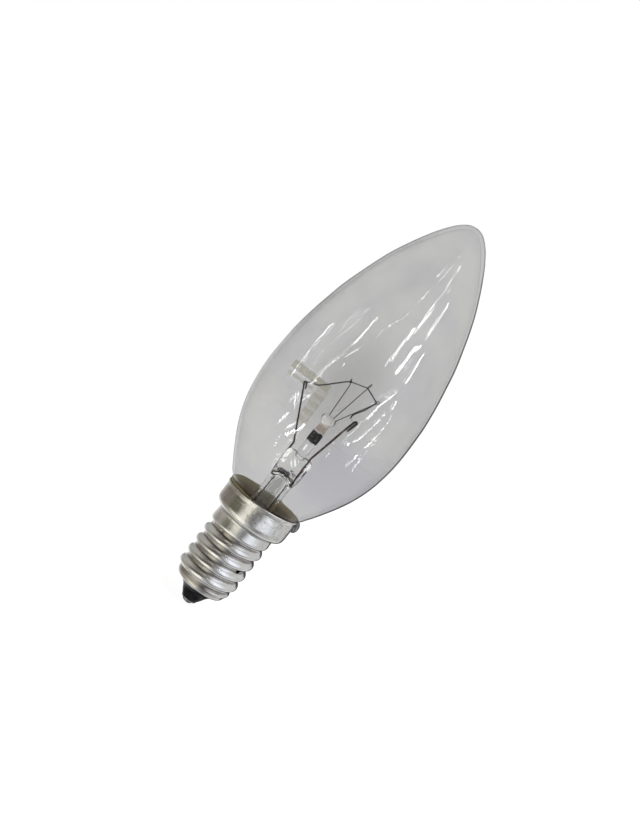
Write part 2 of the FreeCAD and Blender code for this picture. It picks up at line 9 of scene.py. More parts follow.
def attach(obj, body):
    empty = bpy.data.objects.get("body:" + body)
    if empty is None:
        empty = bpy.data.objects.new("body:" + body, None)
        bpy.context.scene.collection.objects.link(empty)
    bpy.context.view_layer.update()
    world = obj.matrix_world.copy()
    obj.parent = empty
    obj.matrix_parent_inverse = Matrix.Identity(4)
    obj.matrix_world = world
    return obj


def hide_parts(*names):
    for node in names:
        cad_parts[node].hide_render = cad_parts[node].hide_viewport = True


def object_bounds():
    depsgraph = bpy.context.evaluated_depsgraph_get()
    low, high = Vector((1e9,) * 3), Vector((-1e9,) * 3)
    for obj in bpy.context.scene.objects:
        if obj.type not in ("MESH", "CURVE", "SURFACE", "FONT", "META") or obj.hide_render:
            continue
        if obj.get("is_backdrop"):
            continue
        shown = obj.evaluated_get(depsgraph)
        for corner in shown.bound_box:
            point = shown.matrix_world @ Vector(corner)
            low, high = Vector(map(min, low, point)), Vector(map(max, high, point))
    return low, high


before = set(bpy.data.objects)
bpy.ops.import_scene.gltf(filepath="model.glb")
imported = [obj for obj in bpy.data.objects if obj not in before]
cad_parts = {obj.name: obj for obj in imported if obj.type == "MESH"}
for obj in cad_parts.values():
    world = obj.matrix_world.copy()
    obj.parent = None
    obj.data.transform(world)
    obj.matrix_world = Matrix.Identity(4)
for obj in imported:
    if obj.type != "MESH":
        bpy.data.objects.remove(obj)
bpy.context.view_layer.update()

# Clear candle lamp on a small screw cap. Lengths below are in millimetres until they become a mesh.
# "cap frame" is the row frame. "glass frame" has the glass's own axis on Z: the glass stands a little crooked in the cap.
MM = 0.001
TILT, SHIFT = math.radians(0.51), 0.57
CT, ST = math.cos(TILT), math.sin(TILT)
rng = np.random.default_rng(14)


def to_cap(p):
    p = np.asarray(p, float)
    x = p[..., 0] - SHIFT
    return np.stack([CT * x + ST * p[..., 2], p[..., 1], -ST * x + CT * p[..., 2]], -1)


def to_glass(p):
    p = np.asarray(p, float)
    return np.stack([CT * p[..., 0] - ST * p[..., 2] + SHIFT, p[..., 1], ST * p[..., 0] + CT * p[..., 2]], -1)


def smooth(v, a, b):
    t = np.clip((v - a) / (b - a), 0, 1)
    return t * t * (3 - 2 * t)


# ---------------------------------------------------------------- mesh helpers
def piece(name, verts, faces, mats, nodes=(), glass_frame=False, face_mats=None, flat=False):
    """A closed mesh as a piece of the lamp."""
    v = np.asarray(verts, float)
    if glass_frame:
        v = to_cap(v)
    me = bpy.data.meshes.new(name)
    me.from_pydata((v * MM).tolist(), [], [tuple(int(i) for i in f) for f in faces])
    me.update()
    if face_mats is not None:
        me.polygons.foreach_set("material_index", np.asarray(face_mats, np.int32))
    bm = bmesh.new()
    bm.from_mesh(me)
    bmesh.ops.recalc_face_normals(bm, faces=bm.faces)
    bm.to_mesh(me)
    bm.free()
    me.polygons.foreach_set("use_smooth", np.full(len(me.polygons), not flat))
    for m in mats:
        me.materials.append(m)
    ob = bpy.data.objects.new(name, me)
    bpy.context.scene.collection.objects.link(ob)
    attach(ob, "root")
    if nodes:
        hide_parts(*nodes)
    return ob


def merge(*parts):
    """Several (verts, faces) as one."""
    vs, fs, at = [], [], 0
    for v, f in parts:
        vs.append(np.asarray(v, float))
        fs += [tuple(i + at for i in q) for q in f]
        at += len(v)
    return np.concatenate(vs), fs


def grid(P, close_u=False, close_v=False):
    """Quads over an array of points [u, v, 3]."""
    nu, nv = P.shape[:2]
    ids = np.arange(nu * nv).reshape(nu, nv)
    a = ids if close_u else ids[:-1]
    b = np.roll(ids, -1, 0) if close_u else ids[1:]
    if close_v:
        q = [a, b, np.roll(b, -1, 1), np.roll(a, -1, 1)]
    else:
        q = [a[:, :-1], b[:, :-1], b[:, 1:], a[:, 1:]]
    return P.reshape(-1, 3), list(zip(*[x.ravel().tolist() for x in q]))


def lathe(rz, n, move=None, centre=(0.0, 0.0)):
    """Body of revolution from (r, z) points. An end at r = 0 becomes a pole; other outlines close on themselves.
    move(theta, r, z) may shift the points and returns new r, z."""
    rz = np.asarray(rz, float)
    start, stop = rz[0, 0] < 1e-9, rz[-1, 0] < 1e-9
    ring_pts = rz[1 if start else 0: len(rz) - 1 if stop else len(rz)]
    th = np.arange(n) * 2 * np.pi / n
    T, Rr = np.meshgrid(th, ring_pts[:, 0], indexing="ij")
    _, Z = np.meshgrid(th, ring_pts[:, 1], indexing="ij")
    if move:
        Rr, Z = move(T, Rr, Z)
    P = np.stack([Rr * np.cos(T) + centre[0], Rr * np.sin(T) + centre[1], Z], -1)
    v, f = grid(P, True, not (start or stop))
    m = len(ring_pts)
    v = v.tolist()
    if start:
        v.append([centre[0], centre[1], float(rz[0, 1])])
        k = len(v) - 1
        f += [(k, i * m, ((i + 1) % n) * m) for i in range(n)]
    if stop:
        v.append([centre[0], centre[1], float(rz[-1, 1])])
        k = len(v) - 1
        f += [(k, ((i + 1) % n) * m + m - 1, i * m + m - 1) for i in range(n)]
    return np.asarray(v), f


def natural(pts, step):
    """Points along a smooth curve through pts, about step apart."""
    p = np.asarray(pts, float)
    d = np.r_[0, np.cumsum(np.linalg.norm(np.diff(p, axis=0), axis=1))]
    n, h = len(d), np.diff(d)
    A, B = np.eye(n), np.zeros((n, p.shape[1]))
    for i in range(1, n - 1):
        A[i, i - 1: i + 2] = h[i - 1], 2 * (h[i - 1] + h[i]), h[i]
        B[i] = 6 * ((p[i + 1] - p[i]) / h[i] - (p[i] - p[i - 1]) / h[i - 1])
    M = np.linalg.solve(A, B)
    t = np.linspace(0, d[-1], max(2, int(math.ceil(d[-1] / step)) + 1))
    k = np.clip(np.searchsorted(d, t, side="right") - 1, 0, n - 2)
    hk, a, b = h[k][:, None], (d[k + 1] - t)[:, None], (t - d[k])[:, None]
    return (M[k] * a ** 3 + M[k + 1] * b ** 3) / (6 * hk) + (p[k] / hk - M[k] * hk / 6) * a + (p[k + 1] / hk - M[k + 1] * hk / 6) * b


def bend(pts, radii, step=0.08):
    """Straight runs joined by tangent arcs, as points."""
    p = [np.asarray(q, float) for q in pts]
    n = len(p)
    if not isinstance(radii, (list, tuple)):
        radii = [radii] * (n - 2)
    out = [p[0]]
    for i in range(1, n - 1):
        a, b, c = p[i - 1], p[i], p[i + 1]
        u, w = (a - b) / np.linalg.norm(a - b), (c - b) / np.linalg.norm(c - b)
        ang = math.acos(float(np.clip(u @ w, -1, 1)))
        if math.pi - ang < 1e-3:
            continue
        r = radii[i - 1]
        t = r * math.tan((math.pi - ang) / 2)
        room = min(np.linalg.norm(a - b), np.linalg.norm(c - b)) * 0.48
        if t > room:
            t = room
            r = t / math.tan((math.pi - ang) / 2)
        bis = (u + w) / np.linalg.norm(u + w)
        cen = b + bis * (r / math.sin(ang / 2))
        e0, e1 = b + u * t - cen, b + w * t - cen
        turn = math.pi - ang
        m = max(3, int(turn / 0.25) + 1)
        for k in range(m + 1):
            f = k / m
            out.append(cen + (math.sin((1 - f) * turn) * e0 + math.sin(f * turn) * e1) / math.sin(turn))
    out.append(p[-1])
    # even out the spacing on the long runs
    q = [out[0]]
    for a, b in zip(out[:-1], out[1:]):
        L = np.linalg.norm(b - a)
        m = max(1, int(L / (step * 6)))
        for k in range(1, m + 1):
            q.append(a + (b - a) * k / m)
    q = np.asarray(q)
    keep = np.r_[True, np.linalg.norm(np.diff(q, axis=0), axis=1) > 1e-5]
    return q[keep]


def frames(c):
    """Two normals along a polyline, carried on without twist."""
    t = np.gradient(c, axis=0)
    t /= np.linalg.norm(t, axis=1)[:, None]
    a = np.cross(t[0], [0.31, 0.9, 0.2])
    a /= np.linalg.norm(a)
    N1 = [a]
    for i in range(1, len(c)):
        a = a - t[i] * (a @ t[i])
        a /= np.linalg.norm(a)
        N1.append(a)
    N1 = np.asarray(N1)
    return t, N1, np.cross(t, N1)


def rod(c, r, sides=12, flatten=None):
    """Round wire along points, with domed ends. r is a number or one for each point."""
    c = np.asarray(c, float)
    r = np.broadcast_to(np.asarray(r, float), (len(c),)).copy()
    t, n1, n2 = frames(c)
    ang = np.arange(sides) * 2 * np.pi / sides
    # small dome at each end
    c = np.concatenate([[c[0] - t[0] * r[0] * 0.0], c, [c[-1]]])
    c[0] = c[1] - t[0] * r[0] * 0.35
    c[-1] = c[-2] + t[-1] * r[-1] * 0.35
    rr = np.r_[r[0] * 0.6, r, r[-1] * 0.6]
    n1, n2 = np.concatenate([n1[:1], n1, n1[-1:]]), np.concatenate([n2[:1], n2, n2[-1:]])
    P = c[:, None, :] + rr[:, None, None] * (np.cos(ang)[None, :, None] * n1[:, None, :] + np.sin(ang)[None, :, None] * n2[:, None, :])
    v, f = grid(P, False, True)
    k = len(v)
    v = np.concatenate([v, [c[0] - t[0] * r[0] * 0.1, c[-1] + t[-1] * r[-1] * 0.1]])
    f += [(k, (i + 1) % sides, i) for i in range(sides)]
    last = (len(c) - 1) * sides
    f += [(k + 1, last + i, last + (i + 1) % sides) for i in range(sides)]
    return v, f


def waves(seed, n, k0, k1, aspect=1.0):
    """Smooth pseudo-random field on (angle, height), periodic in the angle."""
    g = np.random.default_rng(seed)
    terms = []
    for _ in range(n):
        k = g.uniform(k0, k1)
        a = g.uniform(0, 2 * np.pi)
        m = round(k * math.cos(a) * 17 * aspect)
        terms.append((m, k * math.sin(a), g.uniform(0, 2 * np.pi), g.uniform(0.5, 1.0)))
    s = math.sqrt(sum(t[3] ** 2 for t in terms) / 2)

    def f(theta, z):
        out = np.zeros(np.broadcast(theta, z).shape)
        for m, kz, ph, w in terms:
            out = out + w * np.sin(m * theta + kz * z + ph)
        return out / s
    return f


# ---------------------------------------------------------------- node helpers
def nd(tree, kind, ins=None, **props):
    n = tree.nodes.new("ShaderNode" + kind)
    for k, v in props.items():
        setattr(n, k, v)
    for k, v in (ins or {}).items():
        if isinstance(v, bpy.types.NodeSocket):
            tree.links.new(v, n.inputs[k])
        else:
            n.inputs[k].default_value = v
    return n


def math_(tree, op, a, b=0.0, clamp=False):
    n = nd(tree, "Math", {0: a, 1: b}, operation=op, use_clamp=clamp)
    return n.outputs[0]


def step_(tree, v, a, b, lo=0.0, hi=1.0):
    n = nd(tree, "MapRange", {"Value": v, "From Min": a, "From Max": b, "To Min": lo, "To Max": hi}, interpolation_type="SMOOTHSTEP")
    return n.outputs["Result"]


def mix_(tree, f, a, b, mode="MIX"):
    n = nd(tree, "Mix", data_type="RGBA", blend_type=mode)
    for name, v in (("Factor", f), ("A", a), ("B", b)):
        sock = [s for s in n.inputs if s.name == name and s.enabled][0]
        if isinstance(v, bpy.types.NodeSocket):
            tree.links.new(v, sock)
        else:
            sock.default_value = v if name == "Factor" else (*v, 1.0)
    return [s for s in n.outputs if s.enabled][0]


def ramp_(tree, f, stops, kind="EASE"):
    n = nd(tree, "ValToRGB", {"Fac": f})
    cr = n.color_ramp
    cr.interpolation = kind
    while len(cr.elements) > 1:
        cr.elements.remove(cr.elements[0])
    cr.elements[0].position = stops[0][0]
    cr.elements[0].color = (*stops[0][1], 1.0)
    for pos, col in stops[1:]:
        e = cr.elements.new(pos)
        e.color = (*col, 1.0)
    return n.outputs["Color"]


def material(name):
    m = bpy.data.materials.new(name)
    m.use_nodes = True
    t = m.node_tree
    t.nodes.clear()
    out = nd(t, "OutputMaterial")
    return m, t, out


def mm_coords(t):
    """The point in millimetres in the row frame."""
    tc = nd(t, "TexCoord")
    s = nd(t, "VectorMath", {0: tc.outputs["Object"], 1: (1000, 1000, 1000)}, operation="MULTIPLY")
    return s.outputs[0]


def noise_(t, p, scale, detail=2.0, rough=0.5, stretch=(1, 1, 1), dist=0.0):
    v = p
    if stretch != (1, 1, 1):
        v = nd(t, "VectorMath", {0: p, 1: stretch}, operation="MULTIPLY").outputs[0]
    n = nd(t, "TexNoise", {"Vector": v, "Scale": scale, "Detail": detail, "Roughness": rough, "Distortion": dist})
    return n.outputs["Fac"]


def axis_parts(t, p):
    """x, y, z and the distance from the Z axis, in mm."""
    s = nd(t, "SeparateXYZ", {0: p})
    x, y, z = s.outputs
    r = math_(t, "SQRT", math_(t, "ADD", math_(t, "MULTIPLY", x, x), math_(t, "MULTIPLY", y, y)))
    return x, y, z, r


def bump_(t, height, strength, distance_mm):
    return nd(t, "Bump", {"Height": height, "Strength": strength, "Distance": distance_mm * MM}).outputs["Normal"]


# ---------------------------------------------------------------- materials
def box_(t, v, a, b, soft):
    """1 where v lies between a and b."""
    return math_(t, "MULTIPLY", step_(t, v, a - soft, a + soft), math_(t, "SUBTRACT", 1.0, step_(t, v, b - soft, b + soft)))


def print_mask(t, p):
    """Plain faded bars on the far wall: one long bar and a short stack of bars below its end."""
    x, y, z, r = axis_parts(t, p)
    phi = math_(t, "MULTIPLY", math_(t, "ARCTAN2", y, x), 180 / math.pi)
    wob = math_(t, "MULTIPLY", math_(t, "SUBTRACT", noise_(t, p, 1.6, 2.0), 0.5), 0.25)
    zz = math_(t, "ADD", z, wob)
    long_z = math_(t, "SUBTRACT", zz, math_(t, "MULTIPLY", math_(t, "SUBTRACT", phi, 121.0), 0.0148))
    bar = math_(t, "MULTIPLY", box_(t, phi, 102.0, 140.0, 0.4), box_(t, long_z, 52.35, 54.2, 0.12))
    short = math_(t, "MULTIPLY", box_(t, phi, 112.5, 139.0, 0.4), box_(t, long_z, 50.7, 51.5, 0.12))
    across = box_(t, phi, 100.5, 109.6, 0.4)
    stack = None
    for low in (49.7, 47.7, 45.7, 43.7):
        one = math_(t, "MULTIPLY", across, box_(t, zz, low, low + 1.25, 0.12))
        stack = one if stack is None else math_(t, "MAXIMUM", stack, one)
    field = math_(t, "MULTIPLY", math_(t, "MULTIPLY", across, box_(t, zz, 43.2, 52.4, 0.2)), 0.45)
    both = math_(t, "MAXIMUM", math_(t, "MAXIMUM", bar, math_(t, "MULTIPLY", short, 0.55)), math_(t, "MAXIMUM", math_(t, "MULTIPLY", stack, 0.85), field))
    worn = step_(t, noise_(t, p, 2.2, 5.0, 0.7), 0.34, 0.6, 0.45, 1.0)
    return math_(t, "MULTIPLY", both, worn)


def make_glass(name, through, outside):
    """One skin of the thin clear wall: it passes what is behind it and mirrors as glass does."""
    m, t, out = material(name)
    p = mm_coords(t)
    n1 = noise_(t, p, 0.35, 3.0, 0.55, (1, 1, 0.45))
    n2 = noise_(t, p, 1.4, 2.0, 0.5, (1, 1, 0.5))
    n3 = noise_(t, p, 3.4, 1.0, 0.5, (1, 1, 0.35))
    h = math_(t, "ADD", math_(t, "ADD", n1, math_(t, "MULTIPLY", n2, 0.15)), math_(t, "MULTIPLY", n3, 0.08))
    nor = bump_(t, h, 0.5, 0.06)
    facing = nd(t, "LayerWeight", {"Blend": 0.5}).outputs["Facing"]
    f5 = math_(t, "POWER", facing, 5.0)
    fres = math_(t, "ADD", math_(t, "MULTIPLY", f5, 0.85 if outside else 0.3), 0.02 if outside else 0.013)
    x, y, z, r = axis_parts(t, p)
    if outside:
        cloud = noise_(t, p, 0.11, 2.0, 0.5)
        base = mix_(t, step_(t, cloud, 0.32, 0.68), through, tuple(c * k for c, k in zip(through, (0.955, 0.95, 0.97))))
        # painted shade: a cooler, darker cloud low on the right
        low = math_(t, "MULTIPLY", step_(t, math_(t, "ADD", x, math_(t, "MULTIPLY", cloud, 6.0)), 2.0, 9.0), math_(t, "MULTIPLY", step_(t, z, 30.0, 37.0), math_(t, "SUBTRACT", 1.0, step_(t, z, 42.0, 52.0))))
        base = mix_(t, math_(t, "MULTIPLY", low, 0.75), base, tuple(c * k for c, k in zip(through, (0.88, 0.88, 0.93))))
        # a faint grey haze in the middle, round the filament
        dz = math_(t, "MULTIPLY", math_(t, "SUBTRACT", z, 55.0), 0.62)
        mid_d = math_(t, "SQRT", math_(t, "ADD", math_(t, "MULTIPLY", x, x), math_(t, "MULTIPLY", dz, dz)))
        haze = math_(t, "MULTIPLY", math_(t, "SUBTRACT", 1.0, step_(t, math_(t, "ADD", mid_d, math_(t, "MULTIPLY", cloud, 5.0)), 5.0, 14.0)), 0.9)
        base = mix_(t, haze, base, tuple(c * 0.86 for c in through))
        # painted shade: the wall is darkened where it is seen edge-on, more on the right
        rim = math_(t, "MULTIPLY", step_(t, facing, 0.78, 0.90), step_(t, x, -5.0, 3.0, 0.5, 1.0))
        col = mix_(t, rim, base, (0.11, 0.11, 0.12))
        mask = print_mask(t, p)
        col = mix_(t, math_(t, "MULTIPLY", mask, 0.6), col, (0.45, 0.42, 0.275))
    else:
        col = mix_(t, noise_(t, p, 0.3), through, tuple(c * 0.99 for c in through))
    tr = nd(t, "BsdfTransparent", {"Color": col})
    smear = noise_(t, p, 0.25, 4.0, 0.6)
    gl = nd(t, "BsdfGlossy", {"Color": (1, 1, 1, 1), "Roughness": step_(t, smear, 0.45, 0.8, 0.008, 0.045), "Normal": nor})
    mx = nd(t, "MixShader", {0: fres, 1: tr.outputs[0], 2: gl.outputs[0]})
    last = mx.outputs[0]
    if outside:
        ink = nd(t, "BsdfPrincipled", {"Base Color": (0.30, 0.265, 0.18, 1), "Roughness": 0.6})
        last = nd(t, "MixShader", {0: math_(t, "MULTIPLY", mask, 0.13), 1: last, 2: ink.outputs[0]}).outputs[0]
    t.links.new(last, out.inputs["Surface"])
    return m


def make_thin(name, through, dark, k=0.75):
    """Clear glass tube drawn thin: pale in the middle, with painted shade darkening its sides, and it doesn't bend what
    is behind.
    """
    m, t, out = material(name)
    p = mm_coords(t)
    nor = bump_(t, noise_(t, p, 0.8, 2.0, 0.5, (1, 1, 0.4)), 0.4, 0.08)
    facing = nd(t, "LayerWeight", {"Blend": 0.5, "Normal": nor}).outputs["Facing"]
    # painted shade: darker towards the sides, where the tube is seen edge-on
    side = step_(t, facing, 0.45, 0.95)
    col = mix_(t, math_(t, "MULTIPLY", side, k), mix_(t, noise_(t, p, 0.6), through, tuple(c * 0.94 for c in through)), dark)
    tr = nd(t, "BsdfTransparent", {"Color": col})
    gl = nd(t, "BsdfGlossy", {"Color": (1, 1, 1, 1), "Roughness": step_(t, noise_(t, p, 1.2, 3.0), 0.4, 0.7, 0.03, 0.12), "Normal": nor})
    fres = math_(t, "ADD", math_(t, "MULTIPLY", math_(t, "POWER", facing, 4.0), 0.5), 0.05)
    mx = nd(t, "MixShader", {0: fres, 1: tr.outputs[0], 2: gl.outputs[0]})
    t.links.new(mx.outputs[0], out.inputs["Surface"])
    return m


def make_solid_glass(name, tint=(0.97, 0.975, 0.965), tint2=(0.93, 0.94, 0.92), rough=0.0, bump=0.35, freq=0.9, brown_tint_and_painted_light=False, patch=False):
    """Thick drawn glass that bends what is behind it."""
    m, t, out = material(name)
    p = mm_coords(t)
    h = math_(t, "ADD", noise_(t, p, freq, 2.0, 0.5, (1, 1, 0.6)), math_(t, "MULTIPLY", noise_(t, p, freq * 3.1, 1.0), 0.2))
    if patch:
        zz = nd(t, "SeparateXYZ", {0: p}).outputs[2]
        h = math_(t, "MULTIPLY", h, step_(t, zz, 33.2, 35.2, 0.3, 1.0))
    nor = bump_(t, h, bump, 0.12)
    col = mix_(t, noise_(t, p, 0.5), tint, tint2)
    if brown_tint_and_painted_light:
        # brown film above the getter
        x, y, z, r = axis_parts(t, p)
        brown = math_(t, "MULTIPLY", step_(t, z, 45.8, 46.4), math_(t, "SUBTRACT", 1.0, step_(t, math_(t, "ADD", z, math_(t, "MULTIPLY", noise_(t, p, 1.5, 2.0), 1.0)), 48.2, 49.4)))
        col = mix_(t, math_(t, "MULTIPLY", brown, 0.8), col, (0.56, 0.44, 0.36))
        col = mix_(t, step_(t, z, 49.0, 49.8), col, (0.84, 0.84, 0.83))
        # painted highlight: a short bright line in the rod below the getter, which glows
        painted_glint_line = math_(t, "MULTIPLY", math_(t, "MULTIPLY", box_(t, x, -0.28, 0.1, 0.08), box_(t, z, 41.3, 42.7, 0.3)), step_(t, math_(t, "MULTIPLY", y, -1.0), 0.1, 0.4))
    if patch:
        # painted shade: dark patches and strokes where the leads enter the press, in place of the dark the thick glass
        # bends in
        x, y, z, r = axis_parts(t, p)
        ragged_z = math_(t, "ADD", z, math_(t, "MULTIPLY", math_(t, "SUBTRACT", noise_(t, p, 1.3, 4.0, 0.65), 0.5), 1.6))
        middle_ = math_(t, "SUBTRACT", 1.0, step_(t, math_(t, "ABSOLUTE", math_(t, "SUBTRACT", x, -0.3)), 0.9, 1.5))
        painted_shade_band = math_(t, "MULTIPLY", box_(t, ragged_z, 34.55, 35.35, 0.15), middle_)
        strokes = math_(t, "MULTIPLY", box_(t, math_(t, "ADD", ragged_z, math_(t, "MULTIPLY", x, 0.45)), 36.25, 36.5, 0.07), box_(t, x, 0.5, 1.9, 0.15))
        side_line = math_(t, "MULTIPLY", box_(t, x, 3.05, 3.8, 0.08), box_(t, z, 36.4, 38.3, 0.3))
        strokes = math_(t, "MAXIMUM", strokes, side_line)
        painted_shade_mask = math_(t, "MULTIPLY", math_(t, "MAXIMUM", painted_shade_band, math_(t, "MULTIPLY", strokes, 0.8)), step_(t, noise_(t, p, 2.6, 3.0, 0.6), 0.36, 0.46))
        # painted highlight: bright seeds and folds in the pressed glass, which glow
        fold = noise_(t, nd(t, "VectorMath", {0: p, 1: (1.0, 1.0, 0.45)}, operation="MULTIPLY").outputs[0], 2.4, 3.0, 0.55, dist=0.6)
        left_lump = math_(t, "MULTIPLY", math_(t, "SUBTRACT", 1.0, step_(t, x, -2.0, -1.3)), box_(t, z, 36.6, 39.9, 0.4))
        right_lump = math_(t, "MULTIPLY", step_(t, x, 2.35, 2.75), box_(t, z, 37.8, 39.9, 0.3))
        slant = nd(t, "TexWave", {"Vector": p, "Scale": 0.55, "Distortion": 1.2, "Detail": 1.0}, wave_type="BANDS", bands_direction="DIAGONAL").outputs["Fac"]
        slants = math_(t, "MULTIPLY", math_(t, "MULTIPLY", box_(t, x, -0.7, 0.8, 0.25), box_(t, z, 36.9, 38.7, 0.25)), step_(t, slant, 0.72, 0.85))
        painted_highlight_mask = math_(t, "MAXIMUM", math_(t, "MULTIPLY", math_(t, "MAXIMUM", left_lump, right_lump), step_(t, fold, 0.47, 0.53)), math_(t, "MULTIPLY", slants, 0.8))
    b = nd(t, "BsdfPrincipled", {"Base Color": col, "Roughness": rough, "IOR": 1.5, "Transmission Weight": 1.0, "Normal": nor})
    body = b.outputs[0]
    if brown_tint_and_painted_light:
        # painted highlight: the bright line in the rod glows with its own light
        painted_glint_glow = nd(t, "Emission", {"Color": (1.0, 1.0, 0.98, 1), "Strength": 1.35})
        body = nd(t, "MixShader", {0: math_(t, "MULTIPLY", painted_glint_line, 0.9), 1: body, 2: painted_glint_glow.outputs[0]}).outputs[0]
    if patch:
        # painted shade: a near-black matt skin over the dark patches
        painted_shade_black = nd(t, "BsdfPrincipled", {"Base Color": (0.012, 0.01, 0.01, 1), "Roughness": 0.45})
        # painted highlight: a pale skin that glows a little
        seed = nd(t, "BsdfPrincipled", {"Base Color": (0.9, 0.9, 0.88, 1), "Roughness": 0.3, "Emission Color": (1.0, 1.0, 0.98, 1), "Emission Strength": 0.9, "Normal": nor})
        body = nd(t, "MixShader", {0: math_(t, "MULTIPLY", painted_highlight_mask, 0.75), 1: body, 2: seed.outputs[0]}).outputs[0]
        body = nd(t, "MixShader", {0: math_(t, "MULTIPLY", painted_shade_mask, 0.95), 1: body, 2: painted_shade_black.outputs[0]}).outputs[0]
    tr = nd(t, "BsdfTransparent", {"Color": (0.9, 0.9, 0.9, 1)})
    lp = nd(t, "LightPath")
    mx = nd(t, "MixShader", {0: lp.outputs["Is Shadow Ray"], 1: body, 2: tr.outputs[0]})
    t.links.new(mx.outputs[0], out.inputs["Surface"])
    return m


def make_metal(name, c1, c2, r0, r1, scale=1.2, bump=0.15, stretch=(1, 1, 1), dirt=None, metallic=1.0, fine=9.0, burnt=None):
    m, t, out = material(name)
    p = mm_coords(t)
    big = noise_(t, p, scale, 3.0, 0.55)
    small = noise_(t, p, fine, 3.0, 0.6, stretch)
    col = mix_(t, step_(t, big, 0.35, 0.68), c1, c2)
    if dirt:
        col = mix_(t, step_(t, noise_(t, p, dirt[1], 4.0, 0.62), dirt[2], dirt[3]), col, dirt[0])
    if burnt:
        x, y, z, r = axis_parts(t, p)
        col = mix_(t, step_(t, z, burnt[0], burnt[1]), col, (0.014, 0.011, 0.01))
    ro = math_(t, "ADD", step_(t, small, 0.3, 0.75, r0, r1), 0.0)
    b = nd(t, "BsdfPrincipled", {"Base Color": col, "Metallic": metallic, "Roughness": ro, "Normal": bump_(t, small, bump, 0.03)})
    t.links.new(b.outputs[0], out.inputs["Surface"])
    return m


